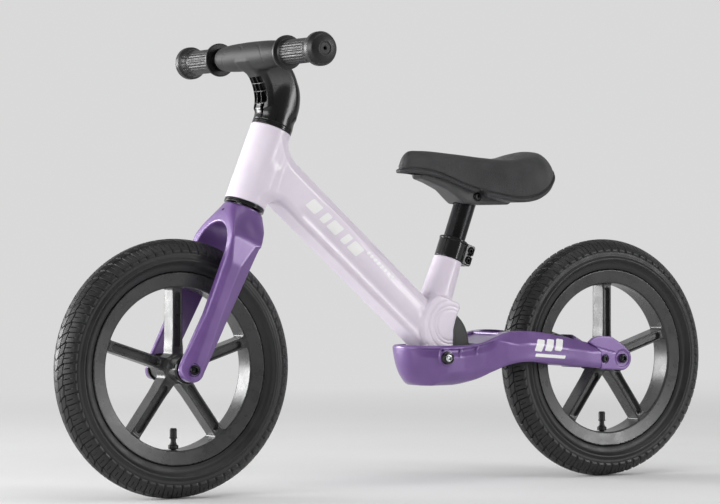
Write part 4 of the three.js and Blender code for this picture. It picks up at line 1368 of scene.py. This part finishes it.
def add_seat_clamp():
    made = sculpt("seat_collar", clamp_field(), (-19, -19, -1), (30, 19, 28), 0.55, SEAT)
    add(made, "frame", "gloss_black", BLACK_GLOSS, "seat_clamp")
    for height, word in zip(CLAMP_SCREWS, ("upper", "lower")):
        place = (CLAMP_SCREW_ACROSS, -5.3, height)
        screw = bolt(f"seat_clamp_screw_{word}_head", place, -1, 4.2, 4, 2.4, 13, 1.9, SEAT)
        add(screw, "frame", "black_steel", BLACK_STEEL, f"seat_clamp_screw_{word}")


def add_seat_post():
    turn(
        "seat_post_tube", [(11.7, -70), (13.5, -70, 0.8), (13.5, 93, 0.8), (11.7, 93)],
        SEAT @ upright(), 96, "seat", "black_steel", BLACK_STEEL, "seat_post", radius=0.4,
    )


# --- Saddle -------------------------------------------------------------------

SADDLE_TOP = curve(
    (-6, 399), (4, 404), (14, 406.8), (30, 407.4), (75, 404.2), (115, 400.2), (134, 399.4),
    (152, 401.4), (170, 406.2), (188, 409), (204, 406), (216, 398.6), (226, 389),
)
SADDLE_FOOT = curve(
    (-8, 379.4), (10, 379.9), (26, 379), (45, 375.5), (62, 369.8), (84, 360.5), (115, 350.8),
    (150, 345), (168, 348.8), (186, 358.5), (200, 370), (212, 382), (224, 395),
)


def saddle_plan():
    return outline(path(*mirrored(
        (0.5, 4, 6), (5.5, 13.2, 14), (40, 19.8, 40), (70, 23.2, 30), (100, 32, 40),
        (130, 48.5, 40), (150, 58.6, 30), (168, 61.4, 30), (186, 58.2, 24), (202, 46.5, 20),
        (212.5, 28, 20), (216.4, 10, 12),
    )), 0.7, 24)


def saddle_field():
    plan_shape = saddle_plan()

    def field(x, y, z):
        plan = plan_shape(x, y)
        side = np.abs(y)
        width = 18 + 44 * ramp(x, 40, 160)
        crown = 2.6 + 14 * ramp(x, 90, 185)
        top = (z - SADDLE_TOP(x) + crown * (side / width) ** 2) * 0.95
        foot = (SADDLE_FOOT(x) - z) * 0.93
        shoulder = 9 + 8 * ramp(x, 60, 150)
        # The wall leans in above a rolled lip, most of all at the nose.
        above = z - SADDLE_FOOT(x)
        lean = 0.12 + 0.26 * (1 - ramp(x, 0, 40))
        wall = plan + 1.7 * ramp(above, 4.2, 5.6) + lean * np.maximum(above - 5, 0)
        made = edge(wall, top, shoulder)
        made = edge(made, foot, 2.4)
        made = made + 1.5 * bump(above, 6.0, 1.2) * ramp(plan, -6, -3)
        # The base's seat under the middle.
        made = carve(made, np.maximum(base_shape(x, z) - 0.6, side - 0.6 - base_half(x)), 0.6)
        across, along = within(x, z, SEAT_TOP, SEAT_TILT)
        return np.maximum(made, -np.maximum(np.hypot(across, along - 82) - 7, side - 40))

    return field


base_half = curve((0, 8), (20, 11.5), (45, 14), (62, 16.5), (80, 20.5), (92, 22), (170, 22))
base_shape = outline(path(
    (8, 379, 1), (24, 374.5, 20), (42, 368.8, 40), (64, 359.8, 24), (77, 350, 12),
    (86, 343.4, 8), (104, 341.8, 20), (150, 342.4, 6), (163, 352, 6), (163, 368, 2),
    (60, 377, 30), (32, 382, 2), (9, 383, 1),
), 0.6, 24)


def base_field(x, y, z):
    side = np.abs(y)
    # Narrow at the front and round below.
    made = edge(base_shape(x, z), side - base_half(x), 5)
    across, along = within(x, z, SEAT_TOP, SEAT_TILT)
    bolt_place = np.hypot(across, along - 82)
    made = carve(made, np.maximum(bolt_place - 5.6, 21.8 - side), 0.3)
    made = np.maximum(made, -(bolt_place - 3.3))
    socket = np.maximum(np.hypot(across, y) - 13.8, along - 93.3)
    return carve(made, socket, 0.8)


def add_saddle():
    low, high = node_box("saddle_pad")
    pad = sculpt("saddle_cover_and_foam", saddle_field(), low - 5, high + 5, 1.25)
    add(pad, "seat", "saddle_skin", SADDLE_COVER, "saddle_pad")
    low, high = node_box("saddle_base")
    base = sculpt("saddle_base_moulding", base_field, low - 3, high + 3, 0.9)
    add(base, "seat", "black_plastic", BASE_GREY, "saddle_base")
    screw = bolt("saddle_bolt_head", (0, -22.3, 82), -1, 5, 2.6, 3, 42, 2.0, SEAT)
    add(screw, "seat", "black_steel", BLACK_STEEL, "saddle_bolt")


# --- The whole bike -----------------------------------------------------------

add_main_frame()
add_tube_stickers()
add_fork()
add_rear_arm()
add_damper()
add_steering()
add_head_insides()
add_wheel("front", FRONT_HUB, "steering", inner=37.5, outer=51)
add_wheel("rear", REAR_HUB, "rear_arm", inner=38, outer=43.4)
add_pivot()
add_seat_clamp()
add_seat_post()
add_saddle()
